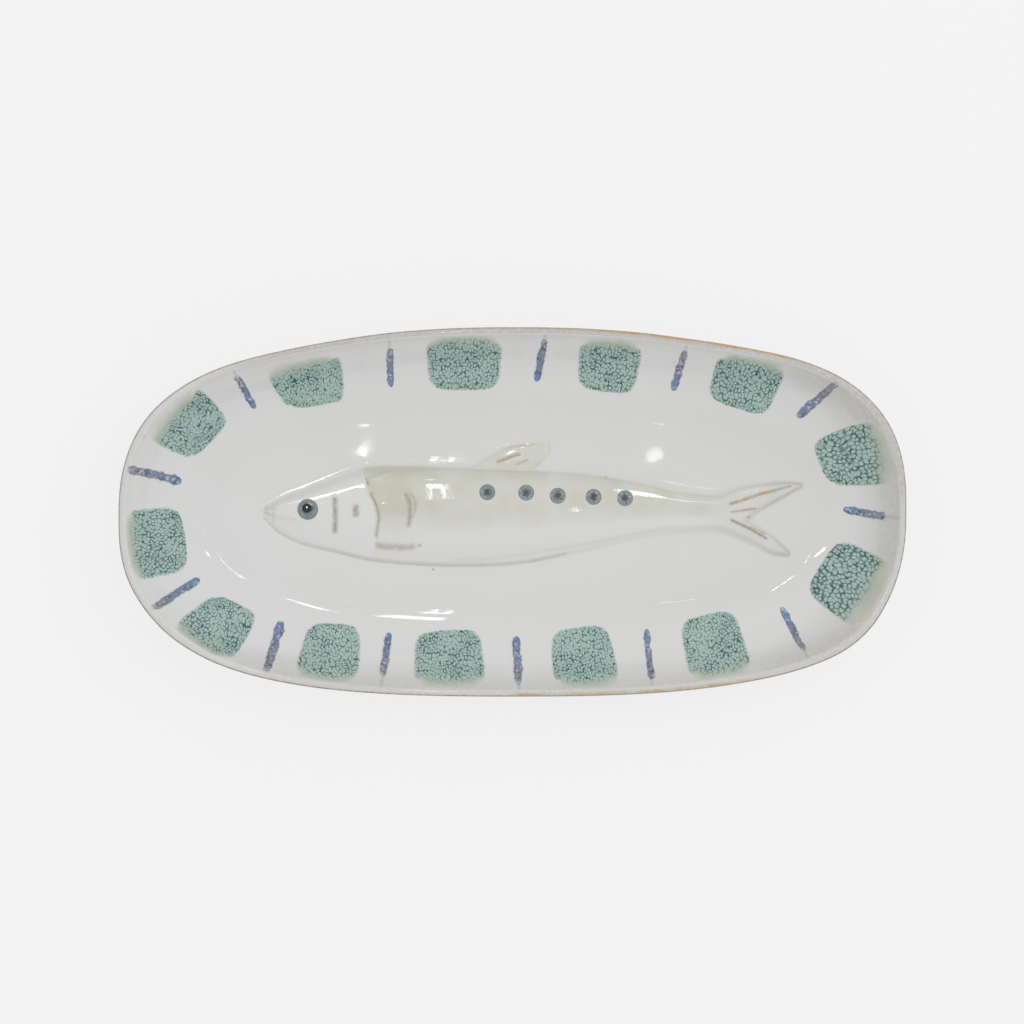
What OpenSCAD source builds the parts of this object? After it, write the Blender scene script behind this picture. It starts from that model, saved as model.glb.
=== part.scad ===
// Oval stoneware platter: a pressed dish on a foot ring, a fish laid on its floor in five pieces,
// and glaze marks brushed round the wall. Lengths are in millimetres. The origin is the middle of
// the foot's resting face; X runs towards the tail, Y towards the fish's back and Z up.

/* [Dish] */
// Overall length, along X
dish_length = 350; // [320:1:400]
// Overall width, along Y
dish_width = 164; // [156:1:190]
// Squareness of the outline, where 2 is an ellipse
outline_power = 2.7; // [2.4:0.1:3.1]
// Depth from the top of the lip to the floor
well_depth = 25; // [20:0.5:30]
// Thickness of the floor
floor_thick = 5.5; // [4.5:0.5:8]
// Distance from the outer edge to the flat part of the floor
wall_run = 40; // [37:0.5:43]
// Radius of the rounded lip
lip_radius = 1.9; // [1.5:0.1:2.8]
// Steepness of the inside of the wall at the lip, in degrees
inner_slope = 55; // [50:1:60]
// Steepness of the outside of the wall at the lip, in degrees
outer_slope = 59; // [54:1:64]

/* [Foot ring] */
// Height of the foot ring
foot_height = 4.5; // [3:0.5:7]
// Width of the foot ring's resting face
foot_width = 5; // [3:0.5:8]
// Step from the end of the outer wall to the foot ring
foot_step = 1; // [0.5:0.5:4]

/* [Fish] */
// Gap from the front end of the floor to the fish's nose
nose_gap = 23.5; // [15:0.5:35]
// Gap from the back end of the floor to the tip of the tail
tail_gap = 4; // [3.5:0.5:15]
// Depth of the fish from its back to its belly
fish_depth = 45; // [36:0.5:50]
// Distance of the middle of the fish below the middle of the dish
fish_drop = 1.8; // [-2:0.1:5]
// Height of the fish above the floor where it is highest
fish_height = 5; // [4:0.5:7]
// Height of the upright edge round each piece of the fish
edge_height = 1; // [0.5:0.1:1.4]
// How far the back edge of the gill cover bows towards the tail
gill_bow = 4.5; // [1:0.5:8]
// How far that edge leans, from the middle to its lower end, towards the tail
gill_slant = 2.5; // [0:0.5:4]
// Rise of the dorsal fin above the back, along Y
fin_rise = 12.5; // [6:0.5:16]
// Spread of the tail from lobe to lobe
tail_spread = 33; // [26:0.5:38]

/* [Eye and spots] */
// Width of the eye
eye_width = 9.7; // [7:0.1:12]
// Width of the pupil
pupil_width = 3; // [2:0.1:5]
// Width of each spot on the side
spot_width = 7.5; // [5:0.1:9]
// Depth of the stamped pits that the glaze fills
pit_depth = 0.9; // [0.6:0.1:1.4]
// Height of the glaze above the middle of its pit's rim
glaze_proud = 0.3; // [0.1:0.1:0.6]
// Play between a pit and the glaze in it, on each side
pit_play = 0.05; // [0.02:0.01:0.2]

/* [Brushed marks] */
// Gap from the lip to the outer end of the marks
mark_gap = 2; // [0.5:0.5:4]
// Width of a green patch along the wall
patch_width = 30; // [22:0.5:36]
// Length of a green patch down the wall
patch_run = 22.5; // [16:0.5:27]
// Width of a blue dash along the wall
dash_width = 4.2; // [2.5:0.1:7]
// Length of a blue dash down the wall
dash_run = 19.5; // [12:0.5:27]
// Thickness of the glaze in the marks
mark_thick = 0.4; // [0.3:0.1:0.8]

/* [Hidden] */
// Places of the dashes and patches, clockwise from the tail's end, as shares of the way round
dash_place_shares = [0.002, 0.087, 0.17, 0.247, 0.322, 0.385, 0.451, 0.522, 0.595, 0.679, 0.768, 0.847, 0.925];
patch_place_shares = [0.043, 0.131, 0.209, 0.288, 0.355, 0.419, 0.483, 0.558, 0.631, 0.722, 0.806, 0.887, 0.964];
// Lean of each mark, clockwise from its inner end to its outer end, as shares of the patch's run
dash_lean_shares = [0.1, 0.36, 0.26, -0.05, -0.3, -0.42, -0.08, 0, 0.24, 0.24, 0.12, -0.12, -0.1];
patch_lean_shares = [0.11, 0.36, 0.08, -0.19, -0.24, -0.12, 0.07, 0.08, 0.2, 0.13, -0.16, -0.35, 0.18];
// Width of each hand-brushed patch, as a share of the named width
patch_width_shares = [1.04, 0.92, 0.94, 1.02, 0.92, 0.95, 1.02, 1, 1.05, 1.12, 0.96, 1, 1];

// How much of a mark's corner is left when it is drawn in, as a share
corner_share = 0.2;

// Outline of the fish: shares of its length from the nose, then of its depth from the middle
back_shares = [
    [0, 0.1], [0.05, 0.27], [0.12, 0.385], [0.19, 0.49], [0.26, 0.5], [0.34, 0.49],
    [0.5, 0.455], [0.6, 0.42], [0.7, 0.33], [0.77, 0.245], [0.842, 0.205]
];
belly_shares = [
    [0, -0.02], [0.026, -0.16], [0.069, -0.275], [0.12, -0.345], [0.2, -0.445], [0.3, -0.493],
    [0.38, -0.5], [0.46, -0.48], [0.56, -0.395], [0.66, -0.27], [0.76, -0.165], [0.842, -0.14]
];
// Height of the middle of the fish: shares of its length, then of its full height
head_crown_shares = [[0, 0.35], [0.05, 0.62], [0.1, 0.86], [0.15, 0.97], [0.192, 1]];
trunk_crown_shares = [[0.192, 0.9], [0.35, 0.96], [0.5, 0.9], [0.7, 0.68], [0.842, 0.5]];
// Ends of the pieces along the fish, as shares of its length
gill_share = 0.192;
bow_fade_share = 0.1;
fin_start_share = 0.355;
fin_end_share = 0.505;
tail_root_share = 0.842;
// Edge of the fin: shares of its base, of the lean along that base and of the fin's rise
fin_edge_shares = [
    [0, 0.01, 0.06], [0.2, 0.06, 0.24], [0.4, 0.08, 0.58], [0.6, 0.14, 0.85],
    [0.8, 0.2, 0.99], [0.92, 0.25, 0.92], [1, 0.04, 0.15]
];
// Edges of the tail past its root: shares of the tail's length, then of its spread
tail_notch_shares = [0.35, -0.103];
tail_top_shares = [[0.26, 0.34], [0.55, 0.385], [0.82, 0.405], [1, 0.385]];
tail_inner_top_shares = [[0.52, 0.03], [0.72, 0.165], [0.985, 0.34]];
tail_inner_low_shares = [[0.53, -0.235], [0.7, -0.39], [0.845, -0.55]];
tail_low_shares = [[0.2, -0.325], [0.42, -0.435], [0.64, -0.565], [0.83, -0.6]];
// Heights of the fin and of the tail at its root and tips, as shares of the fish's height
fin_crown_share = 0.42;
tail_crown_shares = [0.5, 0.26];
// Places across a piece of the fish, from its back at 1 to its belly at -1
across_shares = [1, 0.96, 0.86, 0.68, 0.38, 0, -0.38, -0.68, -0.86, -0.96, -1];
dome_power = 2.6;
// Places of the eye and of the spots: along the fish, then across it
eye_place_shares = [0.081, 0.165];
spot_place_shares = [[0.414, 0.51], [0.486, 0.51], [0.545, 0.44], [0.611, 0.41], [0.67, 0.41]];

// Steps between facets, and the smallest length that tells two places apart
around_step = dish_length / 43;
down_step = dish_length / 68;
along_step = dish_length / 70;
lip_facets = 6;
outer_facets = 7;
round_facets = 64;
snap = dish_length / 100000;

// Heights of the dish, and the middle of its outline
half_length = dish_length / 2;
half_width = dish_width / 2;
base_z = foot_height;
floor_z = base_z + floor_thick;
lip_z = floor_z + well_depth - lip_radius;

function between(a, b, share) = a + (b - a) * share;

// Stops with even steps filled in between, none longer than the step given
function filled(stops, step) = concat(
    [for (i = [0 : len(stops) - 2])
        let (parts = max(1, ceil(abs(stops[i + 1][0] - stops[i][0]) / step)))
        for (k = [0 : parts - 1]) between(stops[i], stops[i + 1], k / parts)],
    [stops[len(stops) - 1]]
);

// A smooth curve through the rows of a table, read at x
function segment(x, table, i = 0) = i >= len(table) - 2 || x < table[i + 1][0] ? i : segment(x, table, i + 1);
function slope(table, i, column) =
    let (a = table[max(0, i - 1)], b = table[min(len(table) - 1, i + 1)])
    (b[column] - a[column]) / (b[0] - a[0]);
function smooth(x, table, column = 1) =
    let (
        i = segment(x, table),
        run = table[i + 1][0] - table[i][0],
        t = (x - table[i][0]) / run,
        start = slope(table, i, column) * run,
        end = slope(table, i + 1, column) * run
    )
    table[i][column] * (2 * t ^ 3 - 3 * t ^ 2 + 1) + start * (t ^ 3 - 2 * t ^ 2 + t)
        + table[i + 1][column] * (3 * t ^ 2 - 2 * t ^ 3) + end * (t ^ 3 - t ^ 2);

// Section of the dish: the lip's circle, and the wall's curves that run into it on both sides
function lip_row(angle) = [lip_radius * (1 + cos(angle)), lip_z + lip_radius * sin(angle)];
lip_start = 90 - inner_slope;
lip_end = 270 - outer_slope;
lip_in = lip_row(lip_start);
lip_out = lip_row(lip_end);
inner_power = tan(inner_slope) * (wall_run - lip_in[0]) / (lip_in[1] - floor_z);
outer_power = tan(outer_slope) * (wall_run - lip_out[0]) / (lip_out[1] - base_z);
function inner_rise(inset) = ((wall_run - inset) / (wall_run - lip_in[0])) ^ inner_power;
function outer_rise(inset) = ((wall_run - inset) / (wall_run - lip_out[0])) ^ outer_power;
function inner_z(inset) = between(floor_z, lip_in[1], inner_rise(inset));
function outer_z(inset) = between(base_z, lip_out[1], outer_rise(inset));
function inner_angle(inset) =
    atan((lip_in[1] - floor_z) * inner_power * inner_rise(inset) / max(snap, wall_run - inset));

// Insets of the marks, and the rows of the dish from the floor over the lip to the underside
mark_inset = lip_in[0] + mark_gap;
middle_inset = mark_inset + patch_run / 2;
short_inset = mark_inset + min(patch_run, dash_run);
long_inset = mark_inset + max(patch_run, dash_run);
inner_stops = [[wall_run], [long_inset], [short_inset], [mark_inset], [lip_in[0]]];
inner_insets = [for (stop = filled(inner_stops, down_step)) stop[0]];
dish_rows = concat(
    [for (inset = inner_insets) [inset, inner_z(inset)]],
    [for (k = [1 : lip_facets]) lip_row(between(lip_start, lip_end, k / lip_facets))],
    [for (k = [1 : outer_facets])
        let (inset = between(lip_out[0], wall_run, k / outer_facets)) [inset, outer_z(inset)]]
);

// The outline at an inset, clockwise from the tail's end, and the way round it at mid-mark
function squared(c) = sign(c) * abs(c) ^ (2 / outline_power);
function ring_point(turn, inset) =
    [(half_length - inset) * squared(cos(turn)), (inset - half_width) * squared(sin(turn))];
ring_turns = [
    for (turn = 0, way = 0; turn <= 360;
        way = way + norm(ring_point(turn + 1, middle_inset) - ring_point(turn, middle_inset)), turn = turn + 1)
        [way, turn]
];
ring_way = ring_turns[360][0];
function turn_at(way) = lookup((way + ring_way) % ring_way, ring_turns);

// Columns round the dish, each with its place and lean, so that every mark's edge is a column
mark_count = len(patch_place_shares);
function dash_way(i) = ring_way * dash_place_shares[i];
function patch_way(i) = ring_way * patch_place_shares[i];
function patch_half(i) = patch_width * patch_width_shares[i] / 2;
column_stops = [
    for (i = [0 : mark_count - 1]) each [
        [dash_way(i) - dash_width / 2, patch_run * dash_lean_shares[i]],
        [dash_way(i), patch_run * dash_lean_shares[i]],
        [dash_way(i) + dash_width / 2, patch_run * dash_lean_shares[i]],
        [patch_way(i) - patch_half(i), patch_run * patch_lean_shares[i]],
        [patch_way(i) + patch_half(i), patch_run * patch_lean_shares[i]]
    ]
];
closed_stops = concat(column_stops, [column_stops[0] + [ring_way, 0]]);
closed_columns = filled(closed_stops, around_step);
columns = [for (i = [0 : len(closed_columns) - 2]) closed_columns[i]];

// A point of the dish in a column, at a row, leaning as the marks lean at the given inset
function dish_point(column, row, inset) =
    let (
        share = max(-0.5, min(0.5, (middle_inset - inset) / patch_run)),
        point = ring_point(turn_at(column[0] + column[1] * share), row[0])
    )
    [point[0], point[1], row[1]];

// The fish: its length from the floor that it lies on, its outline and its rounded top
floor_half = half_length - wall_run;
nose_x = nose_gap - floor_half;
fish_length = floor_half - tail_gap - nose_x;
root_x = nose_x + fish_length * tail_root_share;
tail_length = fish_length * (1 - tail_root_share);
fin_base = fish_length * (fin_end_share - fin_start_share);
function fish_x(u) = nose_x + fish_length * u;
function back_y(u) = fish_depth * smooth(u, back_shares) - fish_drop;
function belly_y(u) = fish_depth * smooth(u, belly_shares) - fish_drop;
function bow(u, v) = (gill_bow * (1 - v ^ 2) - gill_slant * v) * (u <= gill_share
    ? (u / gill_share) ^ 3
    : max(0, 1 - (u - gill_share) / bow_fade_share) ^ 2);
function top_z(v, crown) = floor_z + between(edge_height, crown, sqrt(1 - abs(v) ^ dome_power));
function fish_point(u, v, crowns) =
    let (high = back_y(u), low = belly_y(u))
    [fish_x(u) + bow(u, v), between(low, high, (v + 1) / 2),
        top_z(v, fish_height * smooth(u, crowns))];

// Places along the fish where its pieces have facets; the fin shares the trunk's
along_share = along_step / fish_length;
head_places = [for (stop = filled([[0], [gill_share]], along_share)) stop[0]];
trunk_stops = [[gill_share], [fin_start_share], [fin_end_share], [tail_root_share]];
trunk_places = [for (stop = filled(trunk_stops, along_share)) stop[0]];
fin_places = [for (u = trunk_places) if (u > fin_start_share - snap && u < fin_end_share + snap) u];

function fish_grid(places, crowns) = [for (u = places) [for (v = across_shares) fish_point(u, v, crowns)]];

// A grid between two edges, rounded across, with a crown for each row
function edged_grid(highs, lows, crowns) = [
    for (i = [0 : len(highs) - 1]) [
        for (v = across_shares)
            let (point = between(lows[i], highs[i], (v + 1) / 2)) [point[0], point[1], top_z(v, crowns[i])]
    ]
];
function flattened(grid) = [for (row = grid) [for (point = row) [point[0], point[1], floor_z]]];

function fin_edge(u) =
    let (w = (u - fin_start_share) / (fin_end_share - fin_start_share))
    [fish_x(u) + fin_base * smooth(w, fin_edge_shares), back_y(u) + fin_rise * smooth(w, fin_edge_shares, 2)];

// Edges of the tail from its root outwards; both lobes share the line from the root to the notch
root_top = [root_x, back_y(tail_root_share)];
root_low = [root_x, belly_y(tail_root_share)];
root_middle = between(root_low, root_top, 0.5);
function tail_points(shares) = [for (share = shares) [root_x + tail_length * share[0], tail_spread * share[1]]];
tail_notch = tail_points([tail_notch_shares])[0];
tail_top = concat([root_top], tail_points(tail_top_shares));
tail_inner_top = concat([root_middle, tail_notch], tail_points(tail_inner_top_shares));
tail_inner_low = concat([root_middle, tail_notch], tail_points(tail_inner_low_shares));
tail_low = concat([root_low], tail_points(tail_low_shares));
tail_crowns = [for (k = [0 : len(tail_top) - 1])
    fish_height * between(tail_crown_shares[0], tail_crown_shares[1], k / (len(tail_top) - 1))];

function numbered(name, i) = str(name, i < 9 ? "0" : "", i + 1);

// A closed piece between two grids of points; rows crossed with columns point into the piece
module slab(top, bottom) {
    rows = len(top);
    count = len(top[0]);
    under = rows * count;
    points = [for (grid = [top, bottom]) for (row = grid) each row];
    cells = [for (r = [0 : rows - 2]) for (c = [0 : count - 2])
        let (a = r * count + c) [a, a + count, a + count + 1, a + 1]];
    ends = concat(
        [for (c = [0 : count - 2]) [c, c + 1]],
        [for (c = [0 : count - 2]) [under - count + c + 1, under - count + c]],
        [for (r = [0 : rows - 2]) [(r + 1) * count, r * count]],
        [for (r = [0 : rows - 2]) [(r + 1) * count - 1, (r + 2) * count - 1]]
    );
    polyhedron(points, concat(
        [for (q = cells) each [[q[0], q[1], q[2]], [q[0], q[2], q[3]]]],
        [for (q = cells) each [[q[2] + under, q[1] + under, q[0] + under], [q[3] + under, q[2] + under, q[0] + under]]],
        [for (e = ends) each [[e[0], e[1], e[1] + under], [e[0], e[1] + under, e[0] + under]]]
    ));
}

// A grid with its four corners drawn in, so that a brushed mark has no sharp corner
function eased(grid) =
    let (rows = len(grid) - 1, last = len(grid[0]) - 1)
    [for (r = [0 : rows]) [for (c = [0 : last])
        let (inner_row = r == 0 ? 1 : rows - 1, inner_column = c == 0 ? 1 : last - 1)
        (r == 0 || r == rows) && (c == 0 || c == last)
            ? between(between(grid[r][inner_column], grid[inner_row][c], 0.5), grid[r][c], corner_share)
            : grid[r][c]]];

// A film of glaze on the wall, on the same facets as the wall
module mark(start, end, run) {
    places = [for (column = columns) if (column[0] > start - snap && column[0] < end + snap) column];
    insets = [for (inset = inner_insets) if (inset > mark_inset - snap && inset < mark_inset + run + snap) inset];
    seat = [for (inset = insets) [for (place = places) dish_point(place, [inset, inner_z(inset)], inset)]];
    skin = [for (inset = insets)
        let (
            angle = inner_angle(inset),
            row = [inset + mark_thick * sin(angle), inner_z(inset) + mark_thick * cos(angle)]
        )
        [for (place = places) dish_point(place, row, inset)]];
    slab(eased(skin), eased(seat));
}

// Children stood on the fish at a place, square to its surface there
module on_fish(place, crowns) {
    u = place[0];
    v = place[1];
    here = fish_point(u, v, crowns);
    ahead = fish_point(u + along_share / 10, v, crowns);
    beside = fish_point(u, v + along_share / 10, crowns);
    rise_y = (beside[2] - here[2]) / (beside[1] - here[1]);
    rise_x = (ahead[2] - here[2] - rise_y * (ahead[1] - here[1])) / (ahead[0] - here[0]);
    translate(here) rotate([atan(rise_y), -atan(rise_x), 0]) children();
}

// A stamped pit, open upwards, and the glaze that fills it
module pit(width) translate([0, 0, -pit_depth]) cylinder(h = pit_depth + fish_height, d = width, $fn = round_facets);
module pool(width) translate([0, 0, -pit_depth])
    cylinder(h = pit_depth + glaze_proud, d = width - 2 * pit_play, $fn = round_facets);

// The pressed dish: one closed skin from the floor up the wall, over the lip and back underneath
module dish_body() color("#d9dad6") {
    count = len(columns);
    rows = len(dish_rows);
    floor_middle = rows * count;
    base_middle = floor_middle + 1;
    points = concat(
        [for (row = dish_rows) for (column = columns) dish_point(column, row, row[0])],
        [[0, 0, floor_z], [0, 0, base_z]]
    );
    polyhedron(points, concat(
        [for (r = [0 : rows - 2]) for (c = [0 : count - 1])
            let (a = r * count + c, b = r * count + (c + 1) % count)
            each [[a, a + count, b + count], [a, b + count, b]]],
        [for (c = [0 : count - 1]) [c, (c + 1) % count, floor_middle]],
        [for (c = [0 : count - 1]) [(rows - 1) * count + (c + 1) % count, (rows - 1) * count + c, base_middle]]
    ));
}

// The foot ring luted under the flat of the floor
module foot_outline(inset) polygon([for (way = [0 : round_facets * 2 - 1])
    ring_point(turn_at(ring_way * way / (round_facets * 2)), inset)]);
module foot_ring() color("#b9a184") linear_extrude(height = foot_height) difference() {
    foot_outline(wall_run + foot_step);
    foot_outline(wall_run + foot_step + foot_width);
}

module fish_head() color("#d6d7d5") difference() {
    grid = fish_grid(head_places, head_crown_shares);
    slab(grid, flattened(grid));
    on_fish(eye_place_shares, head_crown_shares) pit(eye_width);
}

module fish_trunk() color("#cfcfc4") difference() {
    grid = fish_grid(trunk_places, trunk_crown_shares);
    slab(grid, flattened(grid));
    for (place = spot_place_shares) on_fish(place, trunk_crown_shares) pit(spot_width);
}

module dorsal_fin() color("#c9c9bb") {
    grid = edged_grid(
        [for (u = fin_places) fin_edge(u)],
        [for (u = fin_places) [fish_x(u), back_y(u)]],
        [for (u = fin_places) fish_height * fin_crown_share]
    );
    slab(grid, flattened(grid));
}

module tail_upper_lobe() color("#c9c9bb") {
    grid = edged_grid(tail_top, tail_inner_top, tail_crowns);
    slab(grid, flattened(grid));
}

module tail_lower_lobe() color("#c9c9bb") {
    grid = edged_grid(tail_inner_low, tail_low, tail_crowns);
    slab(grid, flattened(grid));
}

// The eye: a ring of glaze in its pit, and the pupil in the ring
module eye_ring() color("#8d98a0") on_fish(eye_place_shares, head_crown_shares) difference() {
    pool(eye_width);
    pit(pupil_width);
}
module eye_pupil() color("#2b2d2f") on_fish(eye_place_shares, head_crown_shares) pool(pupil_width);

module side_spot(i) color("#858f90") on_fish(spot_place_shares[i], trunk_crown_shares) pool(spot_width);

module green_patch(i) color("#8aa89d") mark(patch_way(i) - patch_half(i), patch_way(i) + patch_half(i), patch_run);

module blue_dash(i) color("#7d8698") mark(dash_way(i) - dash_width / 2, dash_way(i) + dash_width / 2, dash_run);

dish_body();
foot_ring();
fish_head();
fish_trunk();
dorsal_fin();
tail_upper_lobe();
tail_lower_lobe();
eye_ring();
eye_pupil();
for (i = [0 : len(spot_place_shares) - 1])
    side_spot(i);
for (i = [0 : mark_count - 1]) {
    green_patch(i);
    blue_dash(i);
}
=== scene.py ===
"""Oval stoneware platter with a fish in relief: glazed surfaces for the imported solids, and the stage.

Lengths are in metres in the part's own frame: X towards the fish's tail, Y towards its back, Z up.
"""

import math
from types import SimpleNamespace

import bmesh
import bpy
import numpy as np
from bpy.props import FloatProperty, FloatVectorProperty, IntProperty, PointerProperty
from mathutils import Euler, Matrix, Vector


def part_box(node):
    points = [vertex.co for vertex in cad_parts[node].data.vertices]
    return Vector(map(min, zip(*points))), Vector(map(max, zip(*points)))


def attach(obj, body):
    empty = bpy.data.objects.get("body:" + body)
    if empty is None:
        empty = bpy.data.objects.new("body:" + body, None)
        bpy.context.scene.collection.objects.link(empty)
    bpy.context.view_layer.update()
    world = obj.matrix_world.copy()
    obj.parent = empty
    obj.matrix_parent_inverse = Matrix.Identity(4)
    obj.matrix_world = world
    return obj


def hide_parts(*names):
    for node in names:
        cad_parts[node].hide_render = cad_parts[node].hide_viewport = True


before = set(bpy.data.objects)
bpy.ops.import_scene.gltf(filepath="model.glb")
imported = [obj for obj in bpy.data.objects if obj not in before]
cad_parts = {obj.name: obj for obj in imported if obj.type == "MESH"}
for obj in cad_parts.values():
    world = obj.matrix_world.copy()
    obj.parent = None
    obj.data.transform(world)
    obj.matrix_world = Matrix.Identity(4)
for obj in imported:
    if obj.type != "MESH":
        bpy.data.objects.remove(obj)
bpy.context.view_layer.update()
DISH_LOW, DISH_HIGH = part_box("dish_body")
FLOOR_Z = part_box("fish_trunk")[0].z
NOSE_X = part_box("fish_head")[0].x
TAIL_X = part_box("tail_upper_lobe")[1].x
MM = 0.001

bl_info = {
    "name": "Fish Relief Platter",
    "version": (1, 0, 0),
    "blender": (4, 5, 0),
    "location": "View3D > Sidebar > Platter",
    "description": "Builds the glazed surfaces of an oval platter with a fish in relief",
    "category": "Add Mesh",
}

# Places of the brushed marks, clockwise from the tail's end, as shares of the way round the wall
DASH_PLACES = [0.0007, 0.0866, 0.17, 0.247, 0.3234, 0.3872, 0.451, 0.5208, 0.5942, 0.6795, 0.7666, 0.8472, 0.9258]
PATCH_PLACES = [
    0.042, 0.1307, 0.2083, 0.2872, 0.3557, 0.4192, 0.4824, 0.5572, 0.631, 0.722, 0.8067, 0.8868, 0.9646,
]
# Lean of each mark's outer end, clockwise, as shares of its own length
DASH_LEANS = [0.175, 0.41, 0.32, -0.05, -0.23, -0.44, -0.08, 0, 0.3, 0.33, 0.12, -0.2, -0.07]
PATCH_LEANS = [0.15, 0.38, 0.04, -0.245, -0.325, 0.045, 0.07, -0.08, 0.05, 0.13, -0.2, -0.35, 0.38]
PATCH_WIDTHS = [1.085, 0.93, 0.957, 1.054, 0.91, 0.93, 1.043, 1.015, 1.08, 1.12, 0.93, 1.02, 0.93]
# Size of each patch's cells, from fine at 0 to coarse at 1
PATCH_SHADES = [1, 0.42, 0.38, 0.28, 0.32, 0.35, 0.45, 0.3, 0.12, 0.5, 0.62, 0.6, 1]
# Slant of each patch's inner end: millimetres at its corners
PATCH_SLANTS = [0.5, 0, -0.5, 0, 2, 5, 0, -3.6, -5.6, 0, -0.7, 0, 4.2]
# Millimetres from the platter's edge to each hand-brushed mark's outer and inner end
PATCH_ENDS = [
    (2.2, 30), (2.2, 31), (2.8, 30.3), (3, 29), (2.2, 28.2), (2.4, 24.4), (2.4, 27.4), (3.6, 25.9), (5.2, 28),
    (3, 27.5), (3.3, 27.7), (3, 27.5), (2.6, 30),
]
# Where each mark's body ends towards the lip, from its middle at 0 to its outer end at 1
PATCH_FADES = [0.5, 0.76, 0.78, 0.74, 0.8, 0.82, 0.76, 0.6, 0.68, 0.82, 0.76, 0.78, 0.62]
DASH_FADES = [0.52, 0.66, 0.76, 0.78, 0.57, 0.94, 0.85, 0.97, 0.68, 0.62, 0.75, 0.78, 0.95]
DASH_WIDTHS = [1.15, 1, 0.9, 1.2, 1.1, 1.3, 1.15, 1.3, 0.98, 0.95, 1.05, 1.05, 1.2]
DASH_ENDS = [
    (2.4, 26), (2.6, 25), (2.6, 27.7), (2.6, 26.2), (2.4, 26.5), (2.4, 24.5), (1.7, 24.5), (1.8, 25), (3, 22.7),
    (2.6, 24.3), (2.4, 23.5), (2.6, 24.3), (2.4, 22),
]

# Hand-pressed outline: degrees round the oval, clockwise from the tail's end, then millimetres inside the even oval
OUTLINE_DRIFT = [
    (0, -0.4), (12, -0.3), (22, -1.5), (31, -3.4), (40, -4.3), (50, -3.3), (60, -1.9), (72, -0.8), (85, -0.2),
    (100, -0.3), (115, -1.2), (130, -2.05), (143, -1.6), (156, -0.5), (170, -0.3), (180, 0), (192, 0.9), (210, 1.05),
    (225, 1.35), (240, 2.4), (250, 2.05), (260, 0.7), (270, -0.2), (280, 0.4), (290, 1.25), (300, 0.75), (310, -0.9),
    (322, -2.05), (335, -1.8), (350, -0.8), (360, -0.4),
]

# Outline of the fish: shares of its length from the nose, then of its depth from the middle
BACK = [
    (0, 0.09), (0.02, 0.15), (0.05, 0.225), (0.12, 0.375), (0.19, 0.488), (0.26, 0.5), (0.34, 0.49),
    (0.5, 0.455), (0.6, 0.42), (0.7, 0.33), (0.77, 0.245), (0.842, 0.205),
]
BELLY = [
    (0, -0.02), (0.026, -0.16), (0.069, -0.275), (0.12, -0.345), (0.2, -0.445), (0.3, -0.493),
    (0.38, -0.5), (0.46, -0.48), (0.56, -0.395), (0.66, -0.27), (0.76, -0.165), (0.842, -0.14),
]
# Height of the fish along its length, as shares of its full height
CROWN = [
    (0, 0.5), (0.05, 0.7), (0.1, 0.86), (0.192, 0.95), (0.35, 0.96), (0.5, 0.92), (0.7, 0.74), (0.842, 0.56),
    (0.92, 0.46), (1, 0.34),
]
# Soft edge of the fish along its length: millimetres outside its outline, then inside it
BACK_EDGE = [
    (0, 0.8, 3), (0.04, 0.5, 3.4), (0.07, 0.3, 4.6), (0.11, 0.7, 5.8), (0.16, 1.7, 6.8), (0.21, 2.1, 6.8),
    (0.3, 2.4, 6.2), (0.5, 2.8, 6), (0.62, 3.1, 5), (0.68, 3.2, 4), (0.72, 3.3, 3.5), (0.76, 3.4, 3.8),
    (0.842, 2.4, 3.2), (0.9, 1.7, 2.4), (1, 1.1, 1.7),
]
BELLY_EDGE = [
    (0, 1.2, 3), (0.1, 0.9, 2), (0.4, 0.9, 2), (0.65, 1.2, 2.4), (0.78, 1.8, 3.4), (0.842, 2, 3.2), (0.9, 1.7, 2.4),
    (1, 1.1, 1.7),
]
# Back edge of the gill cover: share across the fish, then millimetres from the fish's nose
GILL = [(-1, 49.1), (-0.4, 50.6), (-0.13, 51.4), (0.14, 50.6), (0.52, 47), (1, 44.1)]
# Outline of the dorsal fin: millimetres in X and Y, from its front root over the tip to its back root
FIN = [
    (-26, 17), (-21.5, 19.2), (-16.6, 21.3), (-10.8, 24.7), (-5.4, 27.8), (1.3, 29.9), (8.1, 31), (13.9, 31.2),
    (17.3, 30.4), (17.2, 27.9), (15.3, 24.3), (12.1, 21.1), (8.1, 18), (4, 15.5),
]
FIN_START, FIN_END, GILL_PLACE, ROOT = 0.34, 0.53, 0.192, 0.842
# Metres: the soft toe of glaze along the back, the fin's foot outside its outline, the blend of the fin into the back,
# and the way from the outline to the top of the dome on the belly's side and on the back's
TOE, FIN_FOOT, FIN_BLEND, BELLY_DOME, BACK_DOME = 0.003, 0.0013, 0.0009, 0.022, 0.019
# Metres below the floor: the fish's pieces at their feet and past them, their deepest lines and their undersides
FOOT_DIP, FAR_DIP, DEEPEST, BED = 0.000012, 0.00004, 0.00025, 0.0006
# Edges of the tail past its root: shares of the tail's length, then of its spread
NOTCH = (0.35, -0.103)
TAIL_TOP = [(0.26, 0.34), (0.55, 0.385), (0.82, 0.405), (1, 0.385)]
TAIL_INNER_TOP = [(0.52, 0.03), (0.72, 0.165), (0.985, 0.34)]
TAIL_INNER_LOW = [(0.53, -0.235), (0.7, -0.39), (0.845, -0.55)]
TAIL_LOW = [(0.2, -0.325), (0.42, -0.435), (0.64, -0.565), (0.83, -0.6)]

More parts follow.
